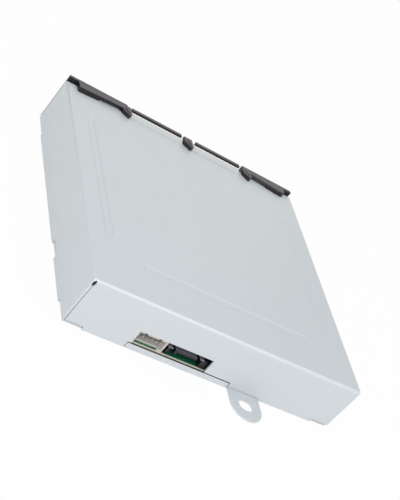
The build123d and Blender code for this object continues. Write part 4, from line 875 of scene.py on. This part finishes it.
# Dust seals. Short-pile black felt glued behind the slot's edges, which wipes the disc
# and keeps light out.
felt, felt_shader, felt_place = new_finish("black_felt", (0.012, 0.012, 0.013, 1), 0.95)
pile = felt_place.noise(6500.0, 4.0)
pile.between((0.006, 0.006, 0.007, 1), (0.03, 0.03, 0.032, 1)).to(felt_shader, "Base Color")
pile.relief(0.00015, 0.8).to(felt_shader, "Normal")
felt_shader.inputs["Sheen Weight"].default_value = 0.3
wear(["lower_dust_seal", "upper_dust_seal"], felt)

# Front. Near-black moulded plastic with a fine spark-eroded grain; its upward faces are painted
# greyer, a painted sheen where they catch the light. Its wings, hooks and strips reach over the
# cover's front edge.
bezel_black = (0.016, 0.015, 0.017, 1)
bezel_sheen_grey = (0.062, 0.053, 0.061, 1)
front_plastic = moulding("front_grain_plastic", bezel_black, 0.36, 2600.0, 0.00002)
front_shader, front_place = shading_of(front_plastic)
front_shader.inputs["Specular IOR Level"].default_value = 0.35
# Painted sheen: faces that point up are painted grey where the black plastic catches the light.
painted_sheen_on_tops = front_place.facing().along("Z") > 0.8
painted_sheen_on_tops.between(bezel_black, bezel_sheen_grey).to(front_shader, "Base Color")
wing_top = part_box("front_bezel")[1].z
wing_span = (0.0370, 0.0600)
wing_root = -0.0665
wing_draft = 0.0010
slash_floor = wing_top - 0.0008
slash_sink = 0.0009
hook_root = -0.0660
hooks_reach = 0.0390
far_corner = (-0.0590, -0.0620)
end_inset = 0.0004
end_slant = 0.0014


def with_drafted_wings(work):
    """Leans the wings' rear faces forward, sinks the slashes and slants the far wing's end."""
    for corner in work.verts:
        x, y, z = corner.co
        if z > wing_top - near and y > wing_root and wing_span[0] < abs(x) < wing_span[1]:
            corner.co.y -= wing_draft
        if abs(z - slash_floor) < near / 2 and y > hook_root and abs(x) < hooks_reach:
            corner.co.z -= slash_sink
        if x < far_corner[0] and y > far_corner[1]:
            corner.co.x += end_inset
            corner.co.y -= end_slant


softened(
    "front_bezel", 0.00025, 3, front_plastic, "casing", with_drafted_wings
)

# Top cover. Deep-folded steel sheet in a satin light grey coating, with grooves pressed in
# and a raised lip at the front; of its rear corners the near one is left as an open seam
# and the far one is pulled tight.
lip_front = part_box("top_cover")[0].y
lip_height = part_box("top_cover")[1].z
edge_width = 0.0006
edge_drop = 0.0007


def painted_lip_highlight(place):
    """A painted highlight along the lip's front edge, behind the front's strips."""
    raised = place.along("Z") > lip_height - edge_drop
    return raised * (place.along("Y") < lip_front + edge_width)


# The lip's front edge is painted near white: a painted highlight where the bent edge catches the
# light.
lip_highlight_colour = srgb(243, 240, 230)
case_coating = coated_sheet("grey_case_coating", case_grey, painted_lip_highlight, lip_highlight_colour)
seam_x = -0.06395
relief_height = 0.0209
relief_half_width = 0.00065
relief_half_height = 0.0015
rear_wall_end = -0.06415
side_wall_end = -0.06420
relief_start = 0.0640
rear_wall_face = 0.0645
seam_top = 0.0200


def with_tight_far_seam(work):
    """Closes the seam and the relief hole of the far rear corner, which the fold pulled tight."""
    for corner in work.verts:
        x, y, z = corner.co
        across = (x - seam_x) / relief_half_width
        up = (z - relief_height) / relief_half_height
        if y > relief_start and 0.85 < math.hypot(across, up) < 1.15:
            corner.co.x = rear_wall_end if across > 0.0 else side_wall_end
        elif y > rear_wall_face and seam_x < x < seam_x + near and z < seam_top:
            corner.co.x = rear_wall_end


softened(
    "top_cover", 0.00012, 2, case_coating, "casing", with_tight_far_seam, 25.0
)
